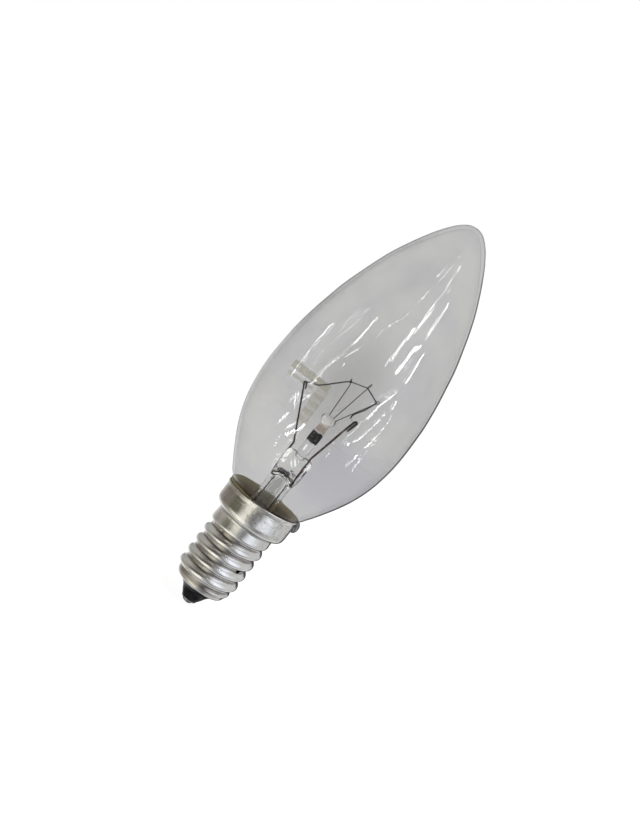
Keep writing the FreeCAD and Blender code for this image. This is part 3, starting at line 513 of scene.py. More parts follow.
def make_shell():
    """Rolled aluminium: bright, with rolling marks round the cap, handling stains and a mottled skirt, and painted
    shade in the thread roots, inside the cap and where it turns away.
    """
    m, t, out = material("cap_metal")
    p = mm_coords(t)
    x, y, z, r = axis_parts(t, p)
    big = noise_(t, p, 0.28, 3.0, 0.55)
    mid = noise_(t, p, 1.1, 4.0, 0.6)
    lines = noise_(t, p, 1.0, 4.0, 0.6, (0.35, 0.35, 7.0))
    grain = noise_(t, p, 14.0, 2.0, 0.6)
    coarse = noise_(t, p, 1.0, 2.0, 0.5, (0.3, 0.3, 3.4))
    col = mix_(t, step_(t, big, 0.35, 0.66), (0.90, 0.90, 0.895), (0.78, 0.778, 0.755))
    col = mix_(t, step_(t, lines, 0.55, 0.8, 0.0, 0.45), col, (0.62, 0.60, 0.57))
    col = mix_(t, step_(t, mid, 0.62, 0.76, 0.0, 0.45), col, (0.47, 0.43, 0.37))
    # painted shade: a faint brown darkening in the roots of the thread and in the crease at the skirt's foot
    rough_r = math_(t, "ADD", r, math_(t, "MULTIPLY", mid, 0.25))
    low = math_(t, "SUBTRACT", 1.0, step_(t, rough_r, 6.2, 6.5))
    painted_thread_shade = math_(t, "MULTIPLY", low, math_(t, "SUBTRACT", 1.0, step_(t, z, 19.5, 20.3)))
    foot = math_(t, "MULTIPLY", step_(t, z, 21.3, 21.6), math_(t, "SUBTRACT", 1.0, step_(t, z, 21.85, 22.1)))
    brown_tint_and_painted_light = math_(t, "MAXIMUM", math_(t, "MULTIPLY", painted_thread_shade, 0.22), math_(t, "MULTIPLY", foot, 0.45))
    # painted shade: a thin darker line right in the thread's roots
    root = math_(t, "MULTIPLY", math_(t, "SUBTRACT", 1.0, step_(t, math_(t, "ADD", r, math_(t, "MULTIPLY", mid, 0.12)), 6.17, 6.27)), box_(t, z, 5.6, 19.2, 0.5))
    brown_tint_and_painted_light = math_(t, "MAXIMUM", brown_tint_and_painted_light, math_(t, "MULTIPLY", root, 0.68))
    col = mix_(t, brown_tint_and_painted_light, col, (0.12, 0.085, 0.06))
    # small dark specks
    speck = noise_(t, p, 3.1, 5.0, 0.7)
    col = mix_(t, step_(t, speck, 0.66, 0.74, 0.0, 0.6), col, (0.16, 0.14, 0.12))
    skirt = step_(t, z, 22.6, 23.4)
    smudge = noise_(t, p, 0.75, 5.0, 0.68)
    col = mix_(t, math_(t, "MULTIPLY", skirt, step_(t, smudge, 0.53, 0.7, 0.0, 0.6)), col, (0.36, 0.32, 0.27))
    # the skirt turns a duller grey towards the left
    skirt_duller_left = math_(t, "MULTIPLY", skirt, step_(t, math_(t, "SUBTRACT", math_(t, "MULTIPLY", smudge, 4.0), x), 3.0, 8.0))
    col = mix_(t, math_(t, "MULTIPLY", skirt_duller_left, 0.75), col, (0.40, 0.385, 0.355))
    # blotches of brown and grey on the skirt, more of them on the left
    blotch = noise_(t, p, 0.42, 5.0, 0.7, (1.0, 1.0, 1.25), dist=0.5)
    more_left = step_(t, x, -7.5, 1.0, 0.03, 0.0)
    col = mix_(t, math_(t, "MULTIPLY", skirt, step_(t, math_(t, "ADD", blotch, more_left), 0.50, 0.66, 0.0, 0.5)), col, (0.46, 0.41, 0.34))
    col = mix_(t, math_(t, "MULTIPLY", skirt, step_(t, smudge, 0.62, 0.70, 0.0, 0.5)), col, (0.14, 0.12, 0.10))
    # painted reflection: where the metal turns away it is darkened as if mirroring the dark room behind, more on the
    # right
    edge = nd(t, "LayerWeight", {"Blend": 0.5}).outputs["Facing"]
    painted_reflection_right_bias = step_(t, x, -3.0, 3.0, 0.4, 1.0)
    col = mix_(t, math_(t, "MULTIPLY", step_(t, edge, 0.67, 0.81, 0.0, 0.88), painted_reflection_right_bias), col, (0.09, 0.088, 0.088))
    # painted shade: the inside of the cap is painted near-black, matt and not metal
    geo = nd(t, "NewGeometry")
    outward = nd(t, "VectorMath", {0: nd(t, "CombineXYZ", {0: x, 1: y, 2: 0.0}).outputs[0]}, operation="NORMALIZE").outputs[0]
    turned = nd(t, "VectorMath", {0: geo.outputs["Normal"], 1: outward}, operation="DOT_PRODUCT").outputs["Value"]
    painted_inside_shade = step_(t, math_(t, "MULTIPLY", turned, -1.0), 0.35, 0.6)
    # painted shade: so is the wall of the small vent hole, with a ring round it
    va_ = math.radians(-39.0)
    side = math_(t, "ABSOLUTE", math_(t, "ADD", math_(t, "MULTIPLY", x, -math.sin(va_)), math_(t, "MULTIPLY", y, math.cos(va_))))
    up_ = math_(t, "SUBTRACT", z, 13.1)
    hole = math_(t, "SQRT", math_(t, "ADD", math_(t, "MULTIPLY", side, side), math_(t, "MULTIPLY", up_, up_)))
    hole = math_(t, "MULTIPLY", math_(t, "SUBTRACT", 1.0, step_(t, hole, 0.62, 0.72)), step_(t, math_(t, "SUBTRACT", x, y), 0.0, 1.0))
    painted_inside_shade = math_(t, "MAXIMUM", painted_inside_shade, hole)
    col = mix_(t, math_(t, "MULTIPLY", painted_inside_shade, 0.97), col, (0.01, 0.009, 0.008))
    ro = math_(t, "ADD", step_(t, lines, 0.3, 0.75, 0.045, 0.11), math_(t, "MULTIPLY", mid, 0.05))
    ro = math_(t, "ADD", ro, math_(t, "MULTIPLY", skirt, 0.04))
    h = math_(t, "ADD", math_(t, "MULTIPLY", lines, 0.6), math_(t, "MULTIPLY", grain, 0.3))
    nor = bump_(t, math_(t, "ADD", h, math_(t, "MULTIPLY", coarse, 0.9)), 0.4, 0.04)
    nor2 = nd(t, "Bump", {"Height": noise_(t, p, 0.55, 2.0, 0.5), "Strength": 0.3, "Distance": 0.2 * MM, "Normal": nor}).outputs["Normal"]
    nor3 = nd(t, "Bump", {"Height": math_(t, "MULTIPLY", noise_(t, p, 1.3, 3.0, 0.55, (1, 1, 0.7)), skirt), "Strength": 0.5, "Distance": 0.06 * MM, "Normal": nor2}).outputs["Normal"]
    b = nd(t, "BsdfPrincipled", {"Base Color": col, "Metallic": math_(t, "SUBTRACT", 1.0, painted_inside_shade), "Specular IOR Level": math_(t, "SUBTRACT", 0.5, math_(t, "MULTIPLY", painted_inside_shade, 0.45)), "Roughness": math_(t, "ADD", ro, math_(t, "MULTIPLY", painted_inside_shade, 0.4)), "Normal": nor3})
    t.links.new(b.outputs[0], out.inputs["Surface"])
    return m


def make_cement():
    m, t, out = material("cap_cement_resin")
    p = mm_coords(t)
    x, y, z, r = axis_parts(t, p)
    # height above the sloping rim
    hh = math_(t, "SUBTRACT", z, math_(t, "ADD", math_(t, "MULTIPLY", x, math.tan(math.radians(4.0))), 27.75))
    n = noise_(t, p, 0.9, 4.0, 0.6)
    hn = math_(t, "ADD", hh, math_(t, "MULTIPLY", math_(t, "SUBTRACT", n, 0.5), 1.4))
    # painted shade: the paste darkens the deeper it lies below the rim, lightest at its top
    col = ramp_(t, step_(t, hn, -2.6, 1.0), [(0.0, (0.085, 0.057, 0.034)), (0.35, (0.13, 0.095, 0.055)), (0.65, (0.175, 0.142, 0.08)), (0.88, (0.235, 0.21, 0.12)),
                                             (1.0, (0.31, 0.285, 0.16))])
    # painted shade: above the rim on the left the paste is shaded to a darker olive
    left = math_(t, "MULTIPLY", step_(t, math_(t, "MULTIPLY", x, -1.0), 3.0, 8.0), step_(t, hh, 0.0, 0.6))
    col = mix_(t, math_(t, "MULTIPLY", left, 0.6), col, (0.20, 0.18, 0.065))
    # painted shade: the front of the paste at rim height is darkened
    painted_shade_band = math_(t, "MULTIPLY", step_(t, math_(t, "MULTIPLY", y, -1.0), 0.0, 3.0), step_(t, hh, -0.5, 0.1))
    col = mix_(t, math_(t, "MULTIPLY", painted_shade_band, 0.8), col, (0.075, 0.066, 0.026))
    speck = noise_(t, p, 6.0, 3.0, 0.6)
    # painted light: the paste glows a little in its own colour, as if lit through
    b = nd(t, "BsdfPrincipled", {"Base Color": col, "Emission Color": col, "Emission Strength": 0.36, "Roughness": step_(t, speck, 0.3, 0.7, 0.35, 0.6), "Normal": bump_(t, math_(t, "ADD", n, math_(t, "MULTIPLY", speck, 0.3)), 0.6, 0.2)})
    t.links.new(b.outputs[0], out.inputs["Surface"])
    return m


def make_black_glass():
    m, t, out = material("black_glass_cone")
    p = mm_coords(t)
    n = noise_(t, p, 0.7, 3.0, 0.55)
    s = noise_(t, p, 5.0, 3.0, 0.6)
    col = mix_(t, step_(t, n, 0.35, 0.7), (0.004, 0.004, 0.0045), (0.012, 0.0125, 0.014))
    b = nd(t, "BsdfPrincipled", {"Base Color": col, "Roughness": step_(t, s, 0.3, 0.75, 0.1, 0.24), "IOR": 1.45, "Specular IOR Level": 0.05, "Normal": bump_(t, math_(t, "ADD", n, math_(t, "MULTIPLY", s, 0.08)), 0.5, 0.25)})
    t.links.new(b.outputs[0], out.inputs["Surface"])
    return m


def make_getter():
    m, t, out = material("getter_black")
    p = mm_coords(t)
    n = noise_(t, p, 2.4, 4.0, 0.65)
    s = noise_(t, p, 9.0, 2.0, 0.6)
    col = mix_(t, step_(t, n, 0.5, 0.66), (0.008, 0.008, 0.009), (0.16, 0.155, 0.15))
    b = nd(t, "BsdfPrincipled", {"Base Color": col, "Roughness": step_(t, s, 0.3, 0.7, 0.45, 0.75), "Normal": bump_(t, n, 0.7, 0.08)})
    t.links.new(b.outputs[0], out.inputs["Surface"])
    return m


outer_glass_mat = make_glass("clear_bulb_glass", (0.75, 0.75, 0.741), True)
inner_glass_mat = make_glass("clear_bulb_glass_inside", (0.99, 0.99, 0.99), False)
tube_mat = make_thin("exhaust_tube_clear", (0.93, 0.93, 0.925), (0.30, 0.30, 0.31))
stem_mat = make_solid_glass("stem_glass_bent", bump=0.9, freq=1.3, patch=True)
cane_mat = make_solid_glass("cane_glass_bent", bump=0.5, freq=1.2, brown_tint_and_painted_light=True)
shell_mat = make_shell()
cement_mat = make_cement()
black_mat = make_black_glass()
getter_mat = make_getter()
solder_mat = make_metal("tin_solder", (0.33, 0.33, 0.335), (0.17, 0.167, 0.163), 0.14, 0.3, 0.8, 0.3, dirt=((0.12, 0.11, 0.10), 1.6, 0.58, 0.72), fine=5.0)
contact_mat = make_metal("contact_brass_dull", (0.45, 0.44, 0.42), (0.30, 0.29, 0.27), 0.25, 0.45, 0.9, 0.25, dirt=((0.06, 0.055, 0.05), 1.3, 0.55, 0.7), fine=6.0)
# painted shade: both leads are the same nickel wire; the left one is a near-black shaded copy of the metal
shaded_lead_mat = make_metal("lead_nickel_shaded_copy", (0.075, 0.068, 0.062), (0.03, 0.028, 0.027), 0.3, 0.5, 0.8, 0.2, fine=8.0)
bright_lead_mat = make_metal("lead_nickel_bright", (0.34, 0.245, 0.21), (0.10, 0.062, 0.052), 0.16, 0.32, 0.45, 0.2, dirt=((0.05, 0.03, 0.026), 0.7, 0.55, 0.65), fine=8.0, burnt=(49.6, 51.6))
seal_mat = make_metal("seal_copper_oxide", (0.13, 0.04, 0.03), (0.025, 0.014, 0.012), 0.35, 0.6, 0.9, 0.3, metallic=0.6, fine=8.0)
support_mat = make_metal("support_molybdenum", (0.27, 0.265, 0.26), (0.13, 0.128, 0.126), 0.25, 0.4, 1.2, 0.15, fine=12.0)
tungsten_mat = make_metal("coil_tungsten", (0.045, 0.043, 0.045), (0.02, 0.02, 0.021), 0.35, 0.55, 1.5, 0.2, fine=20.0)
copper_mat = make_metal("outer_lead_copper", (0.055, 0.034, 0.028), (0.025, 0.018, 0.016), 0.3, 0.5, 0.8, 0.2, dirt=((0.04, 0.03, 0.025), 0.9, 0.5, 0.7), fine=8.0)

# ---------------------------------------------------------------- glass envelope
glass_profile = [
    (24.6, 7.08), (25.6, 7.17), (26.4, 7.34), (27.0, 7.58), (27.6, 7.98), (28.3, 8.59), (29.1, 9.33), (30.0, 9.92),
    (30.8, 10.46), (32.5, 11.52), (34.2, 12.52), (35.9, 13.46), (37.6, 14.3), (39.3, 15.05), (41.0, 15.67), (42.7, 16.19),
    (44.4, 16.6), (46.1, 16.9), (47.8, 17.12), (49.4, 17.29), (51.2, 17.41), (53.2, 17.45), (55.5, 17.41), (57.8, 17.3),
    (60.3, 17.13), (62.8, 16.83), (65.3, 16.45), (67.75, 15.98), (70.2, 15.45), (72.7, 14.9), (75.2, 14.23), (77.6, 13.5),
    (80.1, 12.7), (82.5, 11.86), (84.15, 11.22), (85.8, 10.5), (87.4, 9.73), (89.0, 8.93), (90.6, 8.08), (92.25, 7.15),
    (93.9, 6.14), (95.5, 5.02), (96.7, 4.07), (97.6, 3.2), (98.35, 2.3)]
TOP, WALL = 99.1, 0.6


def dome(a, top, n):
    """Arc from the point a = (r, z) to the axis at height top, both ends included."""
    r, z = a
    h = top - z
    R = (r * r + h * h) / (2 * h)
    full = math.asin(min(1.0, r / R))
    return [(R * math.sin(full * (1 - k / n)), top - R + R * math.cos(full * (1 - k / n))) for k in range(n + 1)]


outer_raw = np.array([(r, z) for z, r in glass_profile])
outer_line = natural(outer_raw, 0.55)
tan = np.gradient(outer_line, axis=0)
tan /= np.linalg.norm(tan, axis=1)[:, None]
wall = WALL + 0.3 * smooth(outer_line[:, 1], 88.0, 98.0)
inner_line = outer_line + np.stack([-tan[:, 1], tan[:, 0]], 1) * wall[:, None]
inner_line = inner_line[inner_line[:, 0] > 1.45]
inner_line = inner_line[np.r_[True, np.diff(inner_line[:, 1]) > 0.05]]
outer_dome = dome(outer_line[-1], TOP, 9)
inner_dome = dome(inner_line[-1], TOP - WALL - 0.35, 7)
neck_low = 23.0
o0, i0 = outer_line[0], inner_line[0]
# from the outer tip down the outside, round the neck's fused foot and up the inside
down = list(reversed([tuple(q) for q in outer_line]))
foot = [(o0[0], 24.1), (o0[0], 23.65)] + [(6.7 + 0.38 * math.cos(a), 23.4 - 0.4 * math.sin(a)) for a in (0.3, 0.7, 1.1, 1.45)] + [(6.5, 23.0), (5.98, 23.0)]
foot += [(5.93, 23.05), (5.93, 23.64), (6.0, 23.7), (i0[0] - 0.08, 23.7), (i0[0], 23.78)]
loop = list(reversed(outer_dome[1:])) + down + foot + [tuple(q) for q in inner_line] + inner_dome[1:]
wob_o, wob_i = waves(3, 14, 0.25, 0.75, 1.0), waves(8, 14, 0.25, 0.8, 1.0)
n_outer = len(outer_dome) - 1 + len(down)


def glass_move(T, R, Z):
    # blown glass is never quite round or quite smooth
    amp = 0.022 * smooth(Z, 28.0, 36.0) * (1 - smooth(Z, 93.0, 98.5))
    k = np.arange(R.shape[1])[None, :]
    outside = k < n_outer
    d = np.where(outside, wob_o(T, Z) - 1.6, wob_i(T, Z) - 1.6)
    return R + amp * d * 0.8, Z


v, f = lathe(loop, 192, glass_move)
rings_m = len(loop) - 2
skin = np.concatenate([np.tile(np.where(np.arange(rings_m - 1) < n_outer + 5, 0, 1), 192), np.zeros(192, int), np.ones(192, int)])
envelope = piece("bulb_glass", v, f, [outer_glass_mat, inner_glass_mat], ["glass_envelope"], True, skin)

# ---------------------------------------------------------------- screw shell
PITCH, CREST = 2.822, 6.0
MAJOR, NECK, SKIRT, RIM = 6.9, 6.78, 8.45, 27.75
CAPWALL, LIP_R, LIP_Z = 0.28, 4.75, 4.55
SLOPE = math.tan(math.radians(4.0))
RUN_OUT = 3.85


def thread_depth(x):
    h = PITCH / 2
    x = np.abs((x + h) % PITCH - h)
    R = 0.822
    full = 2 * (R - math.sqrt(R * R - (h / 2) ** 2))
    a = R - np.sqrt(np.maximum(R * R - x * x, 0))
    b = full - (R - np.sqrt(np.maximum(R * R - (h - x) ** 2, 0)))
    return np.where(x <= h / 2, a, b)


def outer_section(theta):
    pts = []
    for i in range(10):
        a = math.pi / 2 * i / 10
        pts.append((LIP_R + 1.15 * math.sin(a), LIP_Z + 1.05 * (1 - math.cos(a))))
    z0, z1, m = LIP_Z + 1.05, 21.2, 124
    z = z0 + (z1 - z0) * np.arange(m + 1) / m
    env = 5.9 + (MAJOR - 5.9) * smooth(z, 5.3, 7.3) + (NECK - MAJOR) * smooth(z, 19.0, 20.6)
    crest = CREST + PITCH * theta / (2 * math.pi)
    # the last groove runs out over half a turn
    turns = np.floor((z - crest) / PITCH) + theta / (2 * math.pi)
    amp = smooth(z, 5.2, 7.4) * (1 - smooth(turns, RUN_OUT, RUN_OUT + 0.5))
    r = env - amp * thread_depth(z - crest)
    pts += list(zip(r, z))
    pts += [(NECK + 0.01, 21.45), (NECK + 0.05, 21.67), (NECK + 0.17, 21.82), (NECK + 0.38, 21.91), (NECK + 0.65, 22.0), (NECK + 0.93, 22.13),
            (NECK + 1.19, 22.32), (NECK + 1.41, 22.57), (NECK + 1.56, 22.87), (SKIRT - 0.03, 23.24), (SKIRT, 23.64)]
    pts += [(SKIRT, q) for q in np.arange(24.0, 26.45, 0.4)]
    pts += [(SKIRT, 26.5), (SKIRT, 26.7), (SKIRT + 0.02, 26.93), (SKIRT + 0.08, 27.13), (SKIRT + 0.16, 27.3), (SKIRT + 0.22, 27.46), (SKIRT + 0.23, 27.62)]
    return np.array(pts)


dents = [  # angle, height, half size along the angle and the height in mm, depth in mm
    (-119.2, 18.2, 0.5, 0.34, 0.15), (-138.5, 20.6, 0.75, 0.3, 0.14), (-152.0, 20.9, 0.3, 0.25, 0.1),
    (-75.0, 24.8, 2.2, 1.6, 0.05), (-112.0, 25.0, 1.8, 1.5, 0.045), (-96.0, 24.2, 1.3, 1.8, -0.03), (-48.0, 24.6, 1.6, 2.0, 0.04),
    (60.0, 25.0, 2.2, 1.5, 0.06), (150.0, 24.4, 2.0, 1.4, 0.05), (100.0, 20.2, 0.6, 0.4, 0.12), (20.0, 25.2, 2.0, 1.2, 0.04)]
wob_c = waves(21, 12, 0.25, 0.9, 0.45)


def shell_sections(n):
    rows = []
    for k in range(n):
        th = 2 * math.pi * k / n
        o = outer_section(th)
        t = np.gradient(o, axis=0)
        t /= np.linalg.norm(t, axis=1)[:, None]
        i = o + np.stack([-t[:, 1], t[:, 0]], 1) * CAPWALL
        i[0] = (LIP_R, LIP_Z + CAPWALL)
        # rounded edge of the rim
        e0, e1 = o[-1], i[-1]
        mid = (e0 + e1) / 2
        cap_pts = []
        for a in (0.6, 1.2, math.pi / 2, math.pi - 1.2, math.pi - 0.6):
            cap_pts.append(mid + (e0 - mid) * math.cos(a) + np.array([0, 0.13]) * math.sin(a))
        lip_pts = [(LIP_R - 0.05, LIP_Z + CAPWALL * 0.72), (LIP_R - 0.06, LIP_Z + CAPWALL * 0.4)]
        full = np.concatenate([o, cap_pts, i[::-1][1:][::1], lip_pts])
        # the wall as a whole is pressed a little out of true
        d = np.zeros(len(full))
        for ang, z, wa, wz, dep in dents:
            da = (math.degrees(th) - ang + 180) % 360 - 180
            s = math.radians(da) * 7.6
            d -= dep * np.exp(-((s / wa) ** 2 + ((full[:, 1] - z) / wz) ** 2))
        d += 0.018 * (wob_c(th, full[:, 1]) - 1.5) * smooth(full[:, 1], 7.0, 9.0)
        full[:, 0] += d
        z = full[:, 1]
        kk = smooth(z, 22.4, 27.3)
        full[:, 1] = z + kk * full[:, 0] * math.cos(th) * SLOPE
        rows.append(np.stack([full[:, 0] * math.cos(th), full[:, 0] * math.sin(th), full[:, 1]], 1))
    return np.array(rows)


P = shell_sections(256)
v, f = grid(P, True, True)
shell = piece("screw_cap_shell", v, f, [shell_mat], ["screw_shell"])


def drill(ob, centre, direction, r, length, sides=40):
    """A round hole through a piece."""
    d = Vector(direction).normalized()
    me = bpy.data.meshes.new("drill_tool")
    bm = bmesh.new()
    bmesh.ops.create_cone(bm, cap_ends=True, segments=sides, radius1=r * MM, radius2=r * MM, depth=length * MM)
    bm.to_mesh(me)
    bm.free()
    me.materials.append(ob.data.materials[0])
    tool = bpy.data.objects.new("drill_tool", me)
    bpy.context.scene.collection.objects.link(tool)
    tool.matrix_world = Matrix.Translation(Vector(centre) * MM) @ d.to_track_quat("Z", "Y").to_matrix().to_4x4()
    bpy.context.view_layer.update()
    md = ob.modifiers.new("hole", "BOOLEAN")
    md.operation, md.solver, md.object = "DIFFERENCE", "EXACT", tool
    dg = bpy.context.evaluated_depsgraph_get()
    new = bpy.data.meshes.new_from_object(ob.evaluated_get(dg))
    ob.modifiers.clear()
    ob.data = new
    bpy.data.objects.remove(tool)
    new.polygons.foreach_set("use_smooth", np.full(len(new.polygons), True))
    new.set_sharp_from_angle(angle=math.radians(50.0))
    return ob


va = math.radians(-39.0)
vd = (math.cos(va), math.sin(va), 0)
drill(shell, (vd[0] * 6.7, vd[1] * 6.7, 13.1), vd, 0.56, 3.0)

# ---------------------------------------------------------------- centre contact end
ins = [(0.75, 7.4), (0.75, 4.0), (0.75, 0.95), (1.5, 0.95)] + natural([(1.5, 0.95), (1.72, 1.08), (1.9, 1.25), (2.2, 1.63), (2.56, 2.2), (2.96, 2.88), (3.42, 3.48),
                                                                       (3.95, 3.97), (4.43, 4.27), (4.68, 4.43), (4.75, 4.55)], 0.12)[1:].tolist()
ins += [(4.75, 4.83), (4.95, 5.05), (5.05, 5.4), (5.05, 6.3), (4.6, 6.9), (3.2, 7.3)]
ins_wave = waves(31, 8, 0.2, 0.6, 0.25)
v, f = lathe(ins, 96, lambda T, R, Z: (R - 0.02 * (1 + 0.5 * ins_wave(T, Z)) * smooth(Z, 1.3, 1.9) * (1 - smooth(Z, 3.9, 4.4)), Z))
piece("black_glass_insulator", v, f, [black_mat], ["cap_insulator"])

plate = [(0.55, 0.95), (0.55, 0.6), (0.9, 0.6), (1.28, 0.6), (1.4, 0.625), (1.52, 0.67), (1.64, 0.74), (1.72, 0.82), (1.79, 0.92), (1.83, 1.01), (1.8, 1.06), (1.72, 1.07), (1.5, 0.95)]
v, f = lathe(plate, 72)
piece("centre_contact_disc", v, f, [contact_mat], ["contact_plate"])

dome_pts = [(0, 0.0), (0.2, 0.0), (0.4, 0.002), (0.58, 0.022), (0.74, 0.06), (0.88, 0.11), (1.0, 0.17), (1.11, 0.25), (1.19, 0.34), (1.25, 0.46), (1.27, 0.57), (1.15, 0.6), (0.55, 0.6),
            (0.55, 0.95), (0.7, 0.96), (0.66, 1.04), (0, 1.05)]
blob = waves(41, 10, 0.4, 1.4, 0.12)
v, f = lathe(dome_pts, 72, lambda T, R, Z: (R * (1 + 0.03 * (blob(T, Z) - 1.2) * smooth(R, 0.4, 1.3)), Z))
piece("centre_solder_drop", v, f, [solder_mat], ["contact_solder"])

# bead of solder on the rim
nu, nv = 48, 28
th = np.arange(nu) * 2 * np.pi / nu
ph = np.linspace(0.0, np.pi, nv)
bead_wave = waves(51, 9, 0.5, 1.6, 0.2)
pts = []
for j, q in enumerate(ph[1:-1]):
    r = math.sin(q)
    w = 1 + 0.05 * (bead_wave(th, q * 1.4) - 1.0)
    bx = 0.9 * r * np.cos(th) * w
    by = 0.87 * r * np.sin(th) * w
    bz = np.full(nu, 1.42 * math.cos(q))
    pts.append(np.stack([bx + SKIRT + 0.1, by, bz + 27.05], 1))
P = np.array(pts).transpose(1, 0, 2)
v, f = grid(P, True, False)
m = P.shape[1]
v = np.concatenate([v, [[SKIRT + 0.1, 0, 28.47], [SKIRT + 0.1, 0, 25.63]]])
f += [(nu * m, i * m, ((i + 1) % nu) * m) for i in range(nu)] + [(nu * m + 1, ((i + 1) % nu) * m + m - 1, i * m + m - 1) for i in range(nu)]
piece("rim_solder_bead", v, f, [solder_mat], ["side_solder"])

# ---------------------------------------------------------------- cement between glass and cap
gz, gr = outer_line[:, 1], outer_line[:, 0]


def glass_outer(th, z):
    """Radius about the cap's axis of the glass's outside, at an angle and height of the cap frame."""
    # centre of the glass at that height
    cx = -SHIFT * CT + ST * z
    r = np.interp(z, gz, gr)
    return cx * np.cos(th) + np.sqrt(np.maximum(r * r - (cx * np.sin(th)) ** 2, 0)) + 0.012


edge_wave, side_wave = waves(61, 14, 0.15, 1.3, 0.7), waves(71, 12, 0.2, 1.0, 0.5)
n = 288
th = np.arange(n) * 2 * np.pi / n
rows = []
hs = np.linspace(26.0, 29.2, 81)
for a in th:
    rim_here = RIM + SKIRT * math.cos(a) * SLOPE
    bulge = SKIRT + 0.13 + 0.03 * float(side_wave(a, 3.0))
    # the paste was poured to one level, so it stands out above the low side of the sloping rim
    notch = 0.1 * float(np.clip(edge_wave(a, 0.0) + 1.0, 0, 2)) + 0.05 * (1 + math.sin(41 * a + 1.0) * math.sin(13 * a))
    top = 28.22 + 0.021 * 8.6 * math.sin(a) - min(notch, 0.3)
    meets = float(np.interp(bulge - 0.03, glass_outer(a, hs), hs))
    top = min(top, meets)
    out = float(smooth(top - rim_here, 0.05, 0.45))
    zb = min(rim_here, top - 0.15)
    g_top = float(glass_outer(a, top)) + 0.03
    sec = [(6.35, 23.95), (7.4, 23.06), (7.6, 23.07), (8.0, 23.44), (8.15, 24.1), (8.155, zb - 0.5), (8.155, zb - 0.2)]
    for fr, grow in ((0.05, 0.14), (0.12, 0.27), (0.3, 0.37), (0.55, 0.43), (0.8, 0.45), (0.93, 0.40)):
        q = zb + fr * (top - zb)
        sec.append((max(8.16 + out * grow / 0.45 * (bulge - 8.16), float(glass_outer(a, q)) + 0.03), q))
    sec.append((g_top, top))
    sec += [(float(glass_outer(a, q)), float(q)) for q in (top - 0.1, top - 0.3, top - 0.6, top - 1.0)]
    sec += [(float(glass_outer(a, q)), float(q)) for q in (26.2, 25.4, 24.7)]
    sec += [(float(glass_outer(a, 24.7)), 24.0)]
    s_ = np.array(sec)
    rows.append(np.stack([s_[:, 0] * math.cos(a), s_[:, 0] * math.sin(a), s_[:, 1]], 1))
v, f = grid(np.array(rows), True, True)
piece("cap_cement_ring", v, f, [cement_mat], ["cap_cement"])

# ---------------------------------------------------------------- stem
stem_x, press_x = 0.42, 0.55
stem_rows = [(23.06, 5.9, 5.9, 2.0, 0.0), (23.4, 5.9, 5.9, 2.0, 0.0), (23.66, 5.88, 5.88, 2.0, 0.0), (23.74, 5.76, 5.76, 2.0, 0.0), (23.95, 5.25, 5.25, 2.0, 0.0), (24.3, 4.6, 4.6, 2.0, 0.0),
             (24.8, 4.02, 4.02, 2.0, 0.0), (25.5, 3.52, 3.52, 2.0, 0.0), (26.4, 3.14, 3.14, 2.0, 0.0), (27.5, 2.9, 2.9, 2.0, 0.0), (28.8, 2.77, 2.77, 2.0, 0.0),
             (30.2, 2.72, 2.72, 2.0, 0.0), (31.6, 2.72, 2.72, 2.0, 0.0), (32.7, 2.73, 2.68, 2.0, 0.0), (33.4, 2.82, 2.48, 2.1, 0.2), (34.0, 2.97, 2.1, 2.3, 0.6),
             (34.6, 3.12, 1.75, 2.6, 0.9), (35.3, 3.19, 1.52, 2.9, 1.0), (36.3, 3.2, 1.45, 3.0, 1.0), (37.5, 3.2, 1.45, 3.0, 1.0), (38.6, 3.2, 1.45, 3.0, 1.0),
             (39.2, 3.18, 1.44, 3.0, 1.0), (39.6, 3.11, 1.38, 3.0, 1.0), (39.85, 2.98, 1.27, 2.8, 1.0), (40.0, 2.8, 1.1, 2.6, 1.0), (40.08, 2.4, 0.85, 2.5, 1.0)]
stem_wave, lump_wave = waves(81, 10, 0.3, 1.0, 0.2), waves(83, 12, 1.2, 2.6, 0.25)


def press_ring(cx, hx, hy, p, z, n=96):
    a = np.arange(n) * 2 * np.pi / n
    c, s = np.cos(a), np.sin(a)
    return np.stack([cx + hx * np.sign(c) * np.abs(c) ** (2 / p), hy * np.sign(s) * np.abs(s) ** (2 / p), np.full(n, z)], 1)


spline_rows = natural(np.array(stem_rows)[:, [0, 1, 2, 3, 4]], 0.35)
rings = []
for z, hx, hy, sq, sh in spline_rows:
    # the press keeps the marks of its jaws
    mark = 0.04 * math.sin(z * 1.9) * float(smooth(z, 34.6, 36.0)) * float(1 - smooth(z, 38.8, 39.8))
    rings.append(press_ring(stem_x + (press_x - stem_x) * min(max(sh, 0), 1), hx, hy - abs(mark), max(sq, 2.0), z))
P = np.array(rings).transpose(1, 0, 2)
n = P.shape[0]
a = np.arange(n) * 2 * np.pi / n
for k in range(P.shape[1]):
    z = float(P[0, k, 2])
    amp = 0.05 * float(smooth(z, 33.0, 35.5))
    d = amp * (stem_wave(a, z) - 1.2) + 0.6 * amp * (lump_wave(a, z) - 1.3)
    P[:, k, 0] += d * np.cos(a)
    P[:, k, 1] += d * np.sin(a)
v, f = grid(P, True, False)
m = P.shape[1]
v = np.concatenate([v, [[press_x, 0, 40.1]]])
f += [(n * m, ((i + 1) % n) * m + m - 1, i * m + m - 1) for i in range(n)]
bore_line = natural([(5.25, 23.02), (4.5, 23.6), (3.75, 24.2), (3.1, 25.0), (2.62, 26.0), (2.3, 27.2), (2.12, 28.6), (2.05, 30.2), (2.05, 31.6), (2.05, 32.4)], 0.35).tolist()
bore_line += natural([(2.05, 32.4), (1.98, 32.9), (1.75, 33.4), (1.35, 33.9), (0.8, 34.25), (0.4, 34.35)], 0.2)[1:].tolist() + [[0, 34.36]]
bv, bf = lathe([(0.0, 34.36)] + bore_line[-2::-1], n, None, (stem_x, 0))
